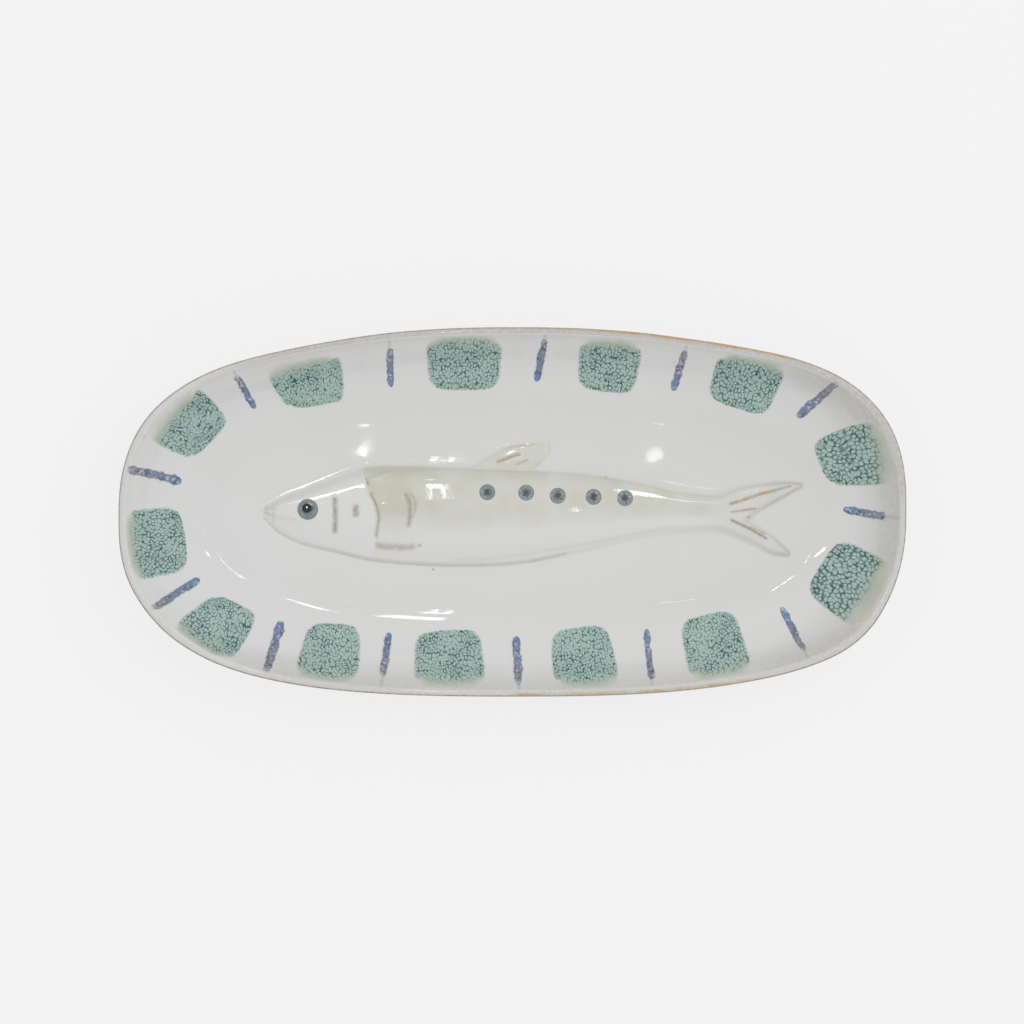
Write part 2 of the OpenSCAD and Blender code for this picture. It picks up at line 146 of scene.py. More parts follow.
# Lines pressed into the clay: millimetres in X and Y, then width, depth, iron and amber in them
HEAD_LINES = [
    ([(-79.8, 5.6), (-79.6, -1), (-79.8, -8.8)], 1.7, 0.5, 0.85, 0),
    ([(-70.4, 2), (-70.4, -1)], 1.9, 0.8, 0.95, 0),
    ([(-111.2, 2.2), (-108.8, 1.9), (-106.6, 1.4)], 0.9, 0.45, 0.12, 0),
    ([(-108, 2), (-107.6, -1.5), (-108, -4.6)], 0.9, 0.2, 0.22, 0),
    ([(-98.5, -3.6), (-98.4, -3.5)], 0.6, 0.1, 0.5, 0),
]
TRUNK_LINES = [
    ([(-47.6, 7.6), (-46.4, 5), (-45.9, 2.2), (-46, -2), (-46.7, -6)], 1.5, 0.45, 0.7, 0),
    ([(-46, 8.4), (-44.3, 6.6), (-43.4, 3.6), (-43.8, 0.4), (-44.8, -2.2)], 0.9, 0.3, 0.4, 0.1),
    ([(-60.6, -15.3), (-55, -15.9), (-49, -16.2), (-44.9, -15.9)], 2.2, 0.5, 0.5, 0.1),
    ([(-59.5, -16.5), (-50, -17)], 0.9, 0.2, 0.45, 0),
    ([(-41.8, -15.1), (-41.6, -15.2)], 1.1, 0.35, 0.6, 0),
    # Iron in these two lines is painted shade along the belly's shoulder; their grooves are pressed
    ([(15, -18), (35, -14.6), (57, -10), (71, -6.9)], 1.6, 0.22, 0.1, 0),
    ([(-25, -22), (-8, -21.7), (15, -18)], 1.6, 0.15, 0.06, 0),
    ([(8, -22.4), (16, -20.6), (24, -18.6)], 0.8, 0, 0.15, 0.2),
    ([(42.2, 15.8), (42.4, 15.6)], 0.8, 0.1, 0.4, 0),
    ([(-63, 14.6), (-59, 16.6), (-55.4, 17.6)], 1.7, -0.35, 0, 0),
]
FIN_LINES = [
    ([(-6.4, 22.6), (-1.5, 24.6), (3.2, 26)], 0.95, 0.45, 0.35, 0.6),
    ([(2.2, 21.6), (7.2, 23.4)], 0.8, 0.3, 0.35, 0.1),
    ([(-4, 28.6), (2, 29.8), (9, 30.4)], 0.8, 0.1, 0.12, 0.25),
]
TAIL_LINES = [
    ([(98.4, 3.6), (106, 6), (112.8, 8.4), (118.5, 9.6)], 1, 0.4, 0.6, 0.6),
    ([(118.5, 9.8), (125.4, 11.6)], 0.9, 0.35, 0.7, 0),
    ([(99, 0), (109.7, 1.5)], 0.8, 0.35, 0.7, 0),
    ([(98.9, -3.7), (107, -7.4), (114.4, -11.7)], 0.9, 0.45, 0.95, 0.2),
    ([(107.2, -6.7), (114.6, -9.8)], 0.6, 0.25, 0.6, 0),
]
# Places of the eye and the spots: millimetres in X and Y
EYE = (-91.9, 1.2)
SPOTS = [(-11.1, 8.9), (6.4, 8.7), (20.6, 7.3), (36.7, 6.8), (50.9, 6.2)]


class DishSizes(bpy.types.PropertyGroup):
    outline_power: FloatProperty(name="Squareness", description="Power of the outline; 2 is an ellipse", default=2.7)
    wall_run: FloatProperty(
        name="Wall run", description="From the outer edge to the flat floor", default=0.04, unit="LENGTH"
    )
    lip_radius: FloatProperty(name="Lip radius", description="Radius of the rounded lip", default=0.0019, unit="LENGTH")
    inner_slope: FloatProperty(
        name="Inner slope", description="Steepness inside at the lip", default=math.radians(55), unit="ROTATION"
    )
    outer_slope: FloatProperty(
        name="Outer slope", description="Steepness outside at the lip", default=math.radians(59), unit="ROTATION"
    )
    unevenness: FloatProperty(
        name="Unevenness", description="Height of the hand-pressed waviness", default=0.0001, unit="LENGTH"
    )
    around: IntProperty(name="Columns", description="Columns of faces round the dish", default=560, min=64)


class FishSizes(bpy.types.PropertyGroup):
    depth: FloatProperty(name="Depth", description="From the back to the belly", default=0.045, unit="LENGTH")
    drop: FloatProperty(name="Drop", description="Below the middle of the dish", default=0.0018, unit="LENGTH")
    height: FloatProperty(name="Height", description="Highest point above the floor", default=0.005, unit="LENGTH")
    fin_height: FloatProperty(name="Fin height", description="Dorsal fin above the floor", default=0.001, unit="LENGTH")
    tail_spread: FloatProperty(name="Tail spread", description="From lobe to lobe", default=0.033, unit="LENGTH")
    gill_step: FloatProperty(
        name="Gill step", description="Head above the trunk at the gill cover", default=0.0004, unit="LENGTH"
    )


class MarkSizes(bpy.types.PropertyGroup):
    patch_width: FloatProperty(
        name="Patch width", description="Green patch along the wall", default=0.0325, unit="LENGTH"
    )
    dash_width: FloatProperty(name="Dash width", description="Blue dash along the wall", default=0.0046, unit="LENGTH")
    film: FloatProperty(name="Film", description="Thickness of the brushed glaze", default=0.0002, unit="LENGTH")
    eye_width: FloatProperty(name="Eye", description="Width of the eye", default=0.0097, unit="LENGTH")
    pupil_width: FloatProperty(name="Pupil", description="Width of the pupil", default=0.0042, unit="LENGTH")
    spot_width: FloatProperty(name="Spot", description="Width of a spot on the side", default=0.0075, unit="LENGTH")


def colour(name, description, value):
    return FloatVectorProperty(name=name, description=description, default=value, size=3, subtype="COLOR", min=0, max=1)


class GlazeColours(bpy.types.PropertyGroup):
    white: colour("White glaze", "Glaze over the dish", (0.642, 0.64, 0.637))
    olive: colour("Olive glaze", "Wash over the fish's trunk", (0.5, 0.5, 0.415))
    iron: colour("Iron", "Clay and iron that show in pressed lines", (0.27, 0.215, 0.175))
    amber: colour("Amber clay", "Bare clay on the lip and in the fins", (0.4, 0.27, 0.08))
    # Also darkens the upper wall towards the lip as painted shade
    edge: colour("Thin glaze and shade", "Glaze thinned along the lip, and painted shade on the upper wall", (0.22, 0.185, 0.145))
    mint: colour("Mint", "Pale cells of the green glaze", (0.35, 0.465, 0.425))
    teal: colour("Teal", "Dark veins of the green glaze", (0.015, 0.09, 0.085))
    haze: colour("Haze", "Thin green glaze towards the lip", (0.44, 0.465, 0.36))
    blue: colour("Blue", "Body of the blue strokes", (0.135, 0.185, 0.31))
    violet: colour("Violet grey", "Thin end of the blue strokes", (0.26, 0.25, 0.27))
    slate: colour("Slate", "Eye ring and spots", (0.17, 0.21, 0.215))
    pupil: colour("Pupil", "Dark glaze of the pupil", (0.014, 0.02, 0.026))
    clay: colour("Bare clay", "Foot ring", (0.46, 0.35, 0.24))
    # Also the grey of the painted shade on the floor
    pooled_and_shade: colour("Pooled glaze and shade", "White glaze where it lies thick, and painted shade on the floor", (0.55, 0.56, 0.52))
    freckle: colour("Freckles", "Iron specks in the white glaze", (0.16, 0.13, 0.1))
    ink: colour("Ink", "Bluest veins of the green glaze", (0.02, 0.085, 0.13))
    cobalt: colour("Cobalt", "Inner end of the blue strokes", (0.11, 0.21, 0.4))
    rust: colour("Rust grey", "Warm clouds in the blue strokes", (0.22, 0.21, 0.2))
    midnight: colour("Midnight", "Dark rims and clouds of the blue strokes", (0.06, 0.09, 0.17))
    curd: colour("Curds", "Pale flecks in the blue strokes", (0.44, 0.5, 0.55))
    trail: colour("Trail", "Dry end of the blue strokes", (0.3, 0.3, 0.32))
    pale_spot: colour("Pale spot", "Flecks of the palest spots", (0.3, 0.35, 0.34))
    dark_spot: colour("Dark spot", "Flecks of the eye and the darkest spots", (0.2, 0.25, 0.265))
    spot_rim: colour("Spot rim", "Rim of the eye and the spots", (0.12, 0.16, 0.16))
    sheen: colour("Pupil sheen", "Paler clouds in the pupil", (0.03, 0.045, 0.05))
    # A painted highlight
    glint: colour("Glint", "Painted highlight in the pupil", (0.8, 0.83, 0.85))
    pale_clay: colour("Pale clay", "Paler clouds in the bare clay", (0.52, 0.42, 0.31))
    grog: colour("Grog", "Dark grains in the bare clay", (0.22, 0.15, 0.09))


class StageSettings(bpy.types.PropertyGroup):
    floor_tone: FloatProperty(name="Floor tone", description="Pale grey of the floor", default=0.896, min=0, max=1)
    camera_height: FloatProperty(name="Camera", description="Camera above the lip", default=1.6, unit="LENGTH")
    frame_width: FloatProperty(name="View", description="Width seen at the lip", default=0.4549, unit="LENGTH")
    sky: FloatProperty(name="Sky", description="Strength of the even light", default=0.905, min=0)
    key: FloatProperty(name="Key", description="Light of the large soft lamp", default=2.73, min=0)
    strip: FloatProperty(name="Strips", description="Light of the lamps that the glaze mirrors", default=9.0, min=0)


def smooth(x, table, column=1):
    """A smooth curve through the rows of a table, read at x."""
    rows = np.asarray(table, float)
    knots, values = rows[:, 0], rows[:, column]
    ahead, behind = np.minimum(np.arange(len(rows)) + 1, len(rows) - 1), np.maximum(np.arange(len(rows)) - 1, 0)
    slopes = (values[ahead] - values[behind]) / (knots[ahead] - knots[behind])
    i = np.clip(np.searchsorted(knots, x, side="right") - 1, 0, len(rows) - 2)
    run = knots[i + 1] - knots[i]
    t = np.clip((x - knots[i]) / run, 0, 1)
    return (
        values[i] * (2 * t**3 - 3 * t**2 + 1)
        + slopes[i] * run * (t**3 - 2 * t**2 + t)
        + values[i + 1] * (3 * t**2 - 2 * t**3)
        + slopes[i + 1] * run * (t**3 - t**2)
    )


def ease(t):
    """A smooth step from 0 at 0 to 1 at 1."""
    t = np.clip(t, 0, 1)
    return t * t * (3 - 2 * t)


def quarter_round(t):
    """A rounded rise from 0 at 0 to 1 at 1, steepest at its foot."""
    return 1 - (1 - np.clip(t, 0, 1)) ** 2


def bell(t):
    """1 at 0, falling away on both sides."""
    return np.exp(-(t**2))


def waviness(x, y):
    """Low swells of a hand-pressed surface, between about -1 and 1."""
    return (
        0.45 * np.sin(x / 0.0113 + 0.8 * np.sin(y / 0.017))
        + 0.35 * np.sin(y / 0.0079 + 1.3 + 0.7 * np.sin(x / 0.023))
        + 0.3 * np.sin((x + 1.4 * y) / 0.0067 + 2.1)
        + 0.25 * np.sin((1.2 * x - y) / 0.0141 + 0.4)
    )


def dish_section():
    """The dish's section from its properties: the same curves as the solid's."""
    sizes = bpy.context.scene.platter_dish
    s = SimpleNamespace(power=sizes.outline_power, run=sizes.wall_run, lip=sizes.lip_radius)
    s.half_length, s.half_width = DISH_HIGH.x, DISH_HIGH.y
    s.base, s.floor, s.lip_z = DISH_LOW.z, FLOOR_Z, DISH_HIGH.z - sizes.lip_radius
    s.lip_start, s.lip_end = math.pi / 2 - sizes.inner_slope, 1.5 * math.pi - sizes.outer_slope
    s.lip_in, s.lip_out = lip_row(s, s.lip_start), lip_row(s, s.lip_end)
    s.inner_power = math.tan(sizes.inner_slope) * (s.run - s.lip_in[0]) / (s.lip_in[1] - s.floor)
    s.outer_power = math.tan(sizes.outer_slope) * (s.run - s.lip_out[0]) / (s.lip_out[1] - s.base)
    turns = np.radians(np.arange(0, 360.25, 0.25))
    line = oval(s, turns, s.lip_in[0] + 0.01325)
    s.turns, s.ways = turns, np.concatenate([[0], np.cumsum(np.hypot(*np.diff(line, axis=0).T))])
    return s


def swell(points):
    """Hand-pressed unevenness of the dish's inside, slight on the floor, stronger up the wall, none at the lip."""
    x, y = points[..., 0], points[..., 1]
    power = bpy.context.scene.platter_dish.outline_power
    out = ((np.abs(x) / DISH_HIGH.x) ** power + (np.abs(y) / DISH_HIGH.y) ** power) ** (1 / power)
    share = (0.06 + 0.94 * ease((out - 0.45) / 0.4)) * ease((0.97 - out) / 0.1)
    return bpy.context.scene.platter_dish.unevenness * share * waviness(x, y)


def lip_row(s, angle):
    return s.lip * (1 + math.cos(angle)), s.lip_z + s.lip * math.sin(angle)


def inner_height(s, inset):
    share = np.clip((s.run - inset) / (s.run - s.lip_in[0]), 0, 1)
    return s.floor + (s.lip_in[1] - s.floor) * share**s.inner_power


def outer_height(s, inset):
    share = np.clip((s.run - inset) / (s.run - s.lip_out[0]), 0, 1)
    return s.base + (s.lip_out[1] - s.base) * share**s.outer_power


def squared(c, power):
    return np.sign(c) * np.abs(c) ** (2 / power)


def ring(s, turn, inset):
    """Points of the hand-pressed outline drawn in by an inset; its drift fades out down the wall."""
    drift = smooth(np.degrees(turn) % 360, OUTLINE_DRIFT) * MM
    return oval(s, turn, inset + drift * np.clip(1 - inset / (0.75 * s.run), 0, 1))


def oval(s, turn, inset):
    """Points of the even outline drawn in by an inset, clockwise from the tail's end."""
    x = (s.half_length - inset) * squared(np.cos(turn), s.power)
    y = (inset - s.half_width) * squared(np.sin(turn), s.power)
    return np.stack([x, y], -1)


def turn_at(s, way):
    """Turn round the outline at a share of the way round the wall."""
    return np.interp((way * s.ways[-1]) % s.ways[-1], s.ways, s.turns)


def new_piece(name, mesh, nodes, slot, *materials):
    """A finished piece on the part's body, standing for its solids."""
    piece = bpy.data.objects.get(name) or bpy.data.objects.new(name, mesh)
    piece.data = mesh
    if piece.name not in bpy.context.scene.collection.objects:
        bpy.context.scene.collection.objects.link(piece)
    if materials:
        mesh.materials.clear()
        for material in materials:
            mesh.materials.append(material)
    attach(piece, "root")
    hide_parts(*nodes)
    return piece


def quads(rows, columns, start=0, closed=False):
    """Faces of a grid of points, row by row."""
    r, c = np.meshgrid(np.arange(rows - 1), np.arange(columns if closed else columns - 1), indexing="ij")
    a, b = r * columns + c, r * columns + (c + 1) % columns
    return (start + np.stack([a, b, b + columns, a + columns], -1)).reshape(-1, 4)


def mesh_of(name, points, faces, sharp=None, attributes=None):
    """A welded mesh with outward faces, smooth but for edges sharper than an angle."""
    mesh = bpy.data.meshes.new(name)
    mesh.from_pydata(np.asarray(points, float).tolist(), [], np.asarray(faces).tolist())
    for key, values in (attributes or {}).items():
        values = np.asarray(values, np.float32)
        kind, field = ("FLOAT", "value") if values.ndim == 1 else ("FLOAT_VECTOR", "vector")
        mesh.attributes.new(key, kind, "POINT").data.foreach_set(field, values.ravel())
    work = bmesh.new()
    work.from_mesh(mesh)
    bmesh.ops.remove_doubles(work, verts=work.verts, dist=1e-7)
    bmesh.ops.recalc_face_normals(work, faces=work.faces)
    work.to_mesh(mesh)
    work.free()
    mesh.shade_smooth()
    if sharp is not None:
        mesh.set_sharp_from_angle(angle=math.radians(sharp))
    mesh.update()
    return mesh


def between(a, b, t):
    return a + (b - a) * t


def segments_near(points, line, closed=False):
    """Distance from each point to a line of points."""
    line = np.asarray(line, float)
    starts, ends = (line, np.roll(line, -1, 0)) if closed else (line[:-1], line[1:])
    nearest = np.full(len(points), np.inf)
    for a, b in zip(starts, ends):
        along = b - a
        t = np.clip(((points - a) @ along) / max(along @ along, 1e-18), 0, 1)
        nearest = np.minimum(nearest, np.hypot(*(points - a - t[:, None] * along).T))
    return nearest


def inside(points, line):
    """Whether each point lies inside a closed line."""
    line = np.asarray(line, float)
    odd = np.zeros(len(points), bool)
    for a, b in zip(line, np.roll(line, -1, 0)):
        if a[1] != b[1]:
            crosses = (a[1] > points[:, 1]) != (b[1] > points[:, 1])
            odd ^= crosses & (points[:, 0] < (b[0] - a[0]) * (points[:, 1] - a[1]) / (b[1] - a[1]) + a[0])
    return odd


def depth_inside(points, line):
    """Distance inside a closed line, negative outside it."""
    return np.where(inside(points, line), 1, -1) * segments_near(points, line, closed=True)


def rounded(line, count):
    """A closed or open line drawn smoothly through its points."""
    line = np.asarray(line, float)
    way = np.concatenate([[0], np.cumsum(np.hypot(*np.diff(line, axis=0).T))])
    at = np.linspace(0, way[-1], count)
    return np.stack([smooth(at, np.column_stack([way, line[:, k]])) for k in (0, 1)], -1)


class Fish:
    """Outline and relief of the whole fish, which every piece of it samples."""

    def __init__(self):
        self.size = size = bpy.context.scene.platter_fish
        self.length = TAIL_X - NOSE_X
        self.root_x = self.x(ROOT)
        tail, spread = TAIL_X - self.root_x, size.tail_spread

        def placed(shares):
            return [(self.root_x + tail * a, spread * b) for a, b in shares]

        root_top, root_low = (self.root_x, self.back(ROOT)), (self.root_x, self.belly(ROOT))
        middle = (self.root_x, (root_top[1] + root_low[1]) / 2)
        self.notch = placed([NOTCH])[0]
        stem = np.linspace(middle, self.notch, 11)
        self.tail_top = rounded([root_top, *placed(TAIL_TOP)], 41)
        self.tail_low = rounded([root_low, *placed(TAIL_LOW)], 41)
        self.inner_top = np.concatenate([stem, rounded([self.notch, *placed(TAIL_INNER_TOP)], 31)[1:]])
        self.inner_low = np.concatenate([stem, rounded([self.notch, *placed(TAIL_INNER_LOW)], 31)[1:]])
        u = np.linspace(0, ROOT, 150)
        back, belly = np.column_stack([self.x(u), self.back(u)]), np.column_stack([self.x(u), self.belly(u)])
        nose = [(NOSE_X - 0.0007, between(belly[0, 1], back[0, 1], t)) for t in (0.3, 0.6)]
        tail_line = [self.tail_top[1:], self.inner_top[:9:-1], self.inner_low[11:], self.tail_low[:0:-1]]
        self.body_line = np.concatenate([back, *tail_line, belly[::-1], nose])
        self.fin_line = rounded(np.asarray(FIN) * MM, 90)

    def x(self, u):
        return NOSE_X + self.length * u

    def back(self, u):
        return self.size.depth * smooth(u, BACK) - self.size.drop

    def belly(self, u):
        return self.size.depth * smooth(u, BELLY) - self.size.drop

    def across(self, points):
        """Share across the fish, from -1 at the belly to 1 at the back."""
        u = np.clip((points[:, 0] - NOSE_X) / self.length, 0, ROOT)
        low, high = self.belly(u), self.back(u)
        return np.clip(2 * (points[:, 1] - low) / (high - low) - 1, -1, 1)

    def gill_x(self, v):
        """Place of the gill cover's back edge at a share across the fish."""
        return NOSE_X + smooth(v, GILL) * MM

    def body(self, u, upper, depth, step):
        """Height of the body by the depth inside its outline, and the depth inside its foot."""
        skirt, shoulder = (between(smooth(u, BELLY_EDGE, k), smooth(u, BACK_EDGE, k), upper) * MM for k in (1, 2))
        toe = TOE * upper * ease((0.9 - u) / 0.08)
        rise = (depth + skirt) / (skirt + shoulder)
        run_out = ease((depth + skirt + toe) / (skirt + toe + shoulder))
        slope = between(ease(rise) * ease(rise / 0.2), run_out, 0.2)
        dome = quarter_round(depth / between(BELLY_DOME, BACK_DOME, upper))
        steep = between(0.16 + 0.54 * ease((u - 0.68) / 0.17), 0.72, upper)
        height = (self.size.height * smooth(u, CROWN) + step) * between(dome, slope, steep)
        return height, depth + skirt + toe

    def fin(self, depth):
        """Height of the dorsal fin by the depth inside its outline."""
        edge, pillow = quarter_round((depth + FIN_FOOT) / 0.0032), quarter_round(depth / 0.009)
        return self.size.fin_height * (0.6 * edge + 0.4 * pillow)

    def wash(self, points, u, v, upper, depth, fin_depth):
        """Cover of the olive wash: thicker towards the back, behind the gill and along the edges."""
        edge = bell((depth - 0.0006) / 0.0008) * upper
        behind_gill = bell((points[:, 0] + 0.054) / 0.011) * ease((v + 0.8) / 0.9)
        past_gill = points[:, 0] - self.gill_x(v)
        body = 0.12 + 0.62 * ease((v + 0.5) / 0.7) + 0.45 * behind_gill + 0.3 * edge
        body = body * (0.1 + 0.9 * ease((past_gill + 0.003) / 0.005))
        body = between(body, 0.5 + 0.25 * edge, ease((u - 0.8) / 0.08)) * ease((depth + 0.001) / 0.002)
        rim = bell((fin_depth - 0.0003) / 0.0006)
        return np.maximum(body, (0.55 + 0.3 * rim) * ease((fin_depth + 0.001) / 0.002))

    def relief(self, points, lines, step=0.0):
        """Height above the floor at points on it, their iron, amber and olive masks, and what lies beside the fish."""
        u = np.clip((points[:, 0] - NOSE_X) / self.length, 0, 1)
        v = self.across(points)
        upper = ease((v + 0.35) / 0.7)
        depth, fin_depth = (depth_inside(points, line) for line in (self.body_line, self.fin_line))
        height, in_foot = self.body(u, upper, depth, step)
        fin = self.fin(fin_depth)
        height = smooth_max(height, fin, 0.000001 + FIN_BLEND * ease(np.minimum(height, fin) / 0.0006))
        height = height - FAR_DIP * ease(-np.maximum(in_foot, fin_depth + FIN_FOOT) / 0.0015)
        crease = 0.28 * bell((depth + 0.0002) / 0.0008) * ease(-(v + 0.6) / 0.4)
        iron, amber = crease * ease((0.03 - points[:, 0]) / 0.03), np.zeros(len(points))
        for run, width, cut, stain, gold in lines:
            away = segments_near(points, np.asarray(run) * MM) / (width * MM)
            height = height - cut * MM * bell(away * 1.7)
            iron = np.maximum(iron, stain * bell(away * 1.5))
            amber = np.maximum(amber, gold * bell(away * 1.3))
        tips = ease((u - 0.9) / 0.08) * bell(depth / 0.0007)
        olive = self.wash(points, u, v, upper, depth, fin_depth)
        beside = 1 - ease((np.maximum(depth, fin_depth) + 0.0012) / 0.002)
        return height, np.maximum(iron, 0.3 * tips), amber, olive, beside


def painted_floor_shade(x, y):
    """Painted shade on the floor at a place: grey all over, darker towards the back and the tail's end, lighter at the
    nose's end.
    """
    return 0.2 + 0.17 * ease((y + 0.01) / 0.04) + 0.16 * ease(x / 0.12) - 0.22 * ease((-x - 0.05) / 0.08)


def smooth_max(a, b, blend):
    """The larger of two heights, blended where they are close."""
    share = np.clip(0.5 + 0.5 * (a - b) / blend, 0, 1)
    return between(b, a, share) + blend * share * (1 - share)


def relief_piece(name, grid, fish, lines, node, slot="olive_glaze", sink=0.0, step=0.0):
    """A closed piece of the fish over a grid of floor points, set a little into the floor."""
    rows, columns = grid.shape[:2]
    flat = grid.reshape(-1, 2)
    height, iron, amber, olive, beside = fish.relief(flat, lines, np.broadcast_to(step, (rows, columns)).ravel())
    height = height - np.broadcast_to(sink, (rows, columns)).ravel()
    top = np.column_stack([flat, FLOOR_Z + np.maximum(height - FOOT_DIP, -DEEPEST) + swell(flat)])
    under = np.column_stack([flat, np.full(len(flat), FLOOR_Z - BED)])
    count = len(flat)
    faces = [quads(rows, columns), quads(rows, columns, count)[:, ::-1]]
    border = np.concatenate(
        [
            np.arange(columns),
            np.arange(1, rows) * columns + columns - 1,
            (rows - 1) * columns + np.arange(columns - 2, -1, -1),
            np.arange(rows - 2, 0, -1) * columns,
        ]
    )
    ahead = np.roll(border, -1)
    faces.append(np.stack([border, ahead, ahead + count, border + count], -1))
    # Painted shade of the floor, carried round the fish's pieces
    wear = np.column_stack([np.zeros((count, 2)), painted_floor_shade(*flat.T) * beside])
    masks = {"iron": iron, "amber": amber, "olive": olive, "wear": wear}
    masks = {key: np.concatenate([values, values]) for key, values in masks.items()}
    mesh = mesh_of(name, np.concatenate([top, under]), np.concatenate(faces), 50, masks)
    return new_piece(name, mesh, [node], slot, fish_glaze())


def across(low, high, low_skirt, high_skirt, count, skirt_rows=10):
    """Points from one edge to the other of each station, with soft skirts past both ends."""
    low, high = np.asarray(low, float), np.asarray(high, float)
    share = 0.5 - 0.5 * np.cos(np.linspace(0, np.pi, count))
    share = 0.35 * share + 0.65 * np.linspace(0, 1, count)
    rows = [low - np.asarray(low_skirt) * t for t in np.linspace(1, 0, skirt_rows, endpoint=False)]
    rows += [between(low, high, t) for t in share]
    rows += [high + np.asarray(high_skirt) * t for t in np.linspace(0, 1, skirt_rows + 1)[1:]]
    return np.stack(rows, 1)


class PLATTER_OT_dish_body(bpy.types.Operator):
    """Press the glazed dish: floor, coupe wall, rounded lip and underside"""

    bl_idname = "platter.dish_body"
    bl_label = "Dish Body"

    def execute(self, context):
        s, around = dish_section(), context.scene.platter_dish.around
        turns = turn_at(s, np.arange(around) / around)
        lip = np.linspace(s.lip_start, s.lip_end, 25)[1:]
        climb = np.linspace(0, 1, 49)[1:]
        rows = [(d, s.floor) for d in np.linspace(s.half_width, s.run, 20)]
        floor_rows = len(rows)
        rows += [(d, float(inner_height(s, d))) for d in between(s.run, s.lip_in[0], climb)]
        inside_rows = len(rows)
        rows += [lip_row(s, angle) for angle in lip]
        lip_rows = slice(inside_rows, len(rows))
        rows += [(d, float(outer_height(s, d))) for d in np.linspace(s.lip_out[0], s.run, 24)[1:]]
        rows += [(d, s.base) for d in np.linspace(s.run, s.half_width, 14)[1:]]
        points = []
        for k, (inset, height) in enumerate(rows):
            line = ring(s, turns, inset)
            points.append(np.column_stack([line, height + (swell(line) if k < inside_rows else 0 * line[:, 0])]))
        points = np.concatenate(points)
        turn, up = np.zeros(len(rows)), np.zeros(len(rows))
        turn[lip_rows], up[lip_rows] = np.degrees(lip), 1
        up[floor_rows:inside_rows] = climb
        wear = self.wear(*points.T[:2], np.repeat(turn, around), np.repeat(up, around))
        mesh = mesh_of("dish", points, quads(len(rows), around, closed=True), None, {"wear": wear})
        new_piece("dish", mesh, ["dish_body"], "white_glaze", dish_glaze())
        return {"FINISHED"}

    def wear(self, x, y, turn, up):
        """Thinned glaze, bare clay and painted shade at points, by their angle on the lip and share up the wall: the
        first also paints shade on the upper wall, the last is painted shade on the floor.
        """
        far, right, left = ease((y + 0.01) / 0.02), ease((x - 0.1) / 0.05), ease((-x - 0.1) / 0.05)
        # Painted shade up the wall: darker towards the lip, from lower down and most at the tail's end, least at the
        # nose's end
        start = between(between(between(0.72, 0.93, far), 0.5, right), 0.93, left)
        amount = between(between(between(0.27, 0.2, far), 0.32, right), 0.12, left)
        # The lip's top darkened, most on the back side: thinned glaze and painted shade
        rubbed = between(0.48 * far, 0.22, left) * ease((turn - 48) / 24)
        worn_and_shade = np.maximum(np.maximum(amount * ease((up - start) / (1.04 - start)), rubbed), ease((turn - 124) / 14))
        back = ease((x + 0.006) / 0.06) * ease((0.138 - x) / 0.02) * (y > 0)
        front = 0.8 * ease((x + 0.002) / 0.006) * ease((0.118 - x) / 0.03) * (y < 0)
        bare = np.maximum(back * ease((turn - 98) / 16), front * ease((turn - 70) / 50)) * (turn > 0)
        return np.column_stack([worn_and_shade, bare, painted_floor_shade(x, y) * (1 - ease((up - 0.1) / 0.4))])


class PLATTER_OT_foot_ring(bpy.types.Operator):
    """Lute the bare clay foot ring under the floor"""

    bl_idname = "platter.foot_ring"
    bl_label = "Foot Ring"

    def execute(self, context):
        s = dish_section()
        low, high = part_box("foot_ring")
        outer, inner, round_off = s.half_length - high.x, s.half_length - high.x + 0.005, 0.0009
        turns = turn_at(s, np.arange(280) / 280)
        corner = [(1 - math.cos(a), 1 - math.sin(a)) for a in np.linspace(0, math.pi / 2, 6)]
        rows = [(outer, high.z)]
        rows += [(outer + round_off * a, low.z + round_off * b) for a, b in corner]
        rows += [(inner - round_off * a, low.z + round_off * b) for a, b in reversed(corner)]
        rows += [(inner, high.z)]
        points = [np.column_stack([ring(s, turns, d), np.full(len(turns), z)]) for d, z in rows + rows[:1]]
        mesh = mesh_of("foot_ring", np.concatenate(points), quads(len(rows) + 1, len(turns), closed=True), 60)
        new_piece("foot", mesh, ["foot_ring"], "bare_clay", bare_clay())
        return {"FINISHED"}


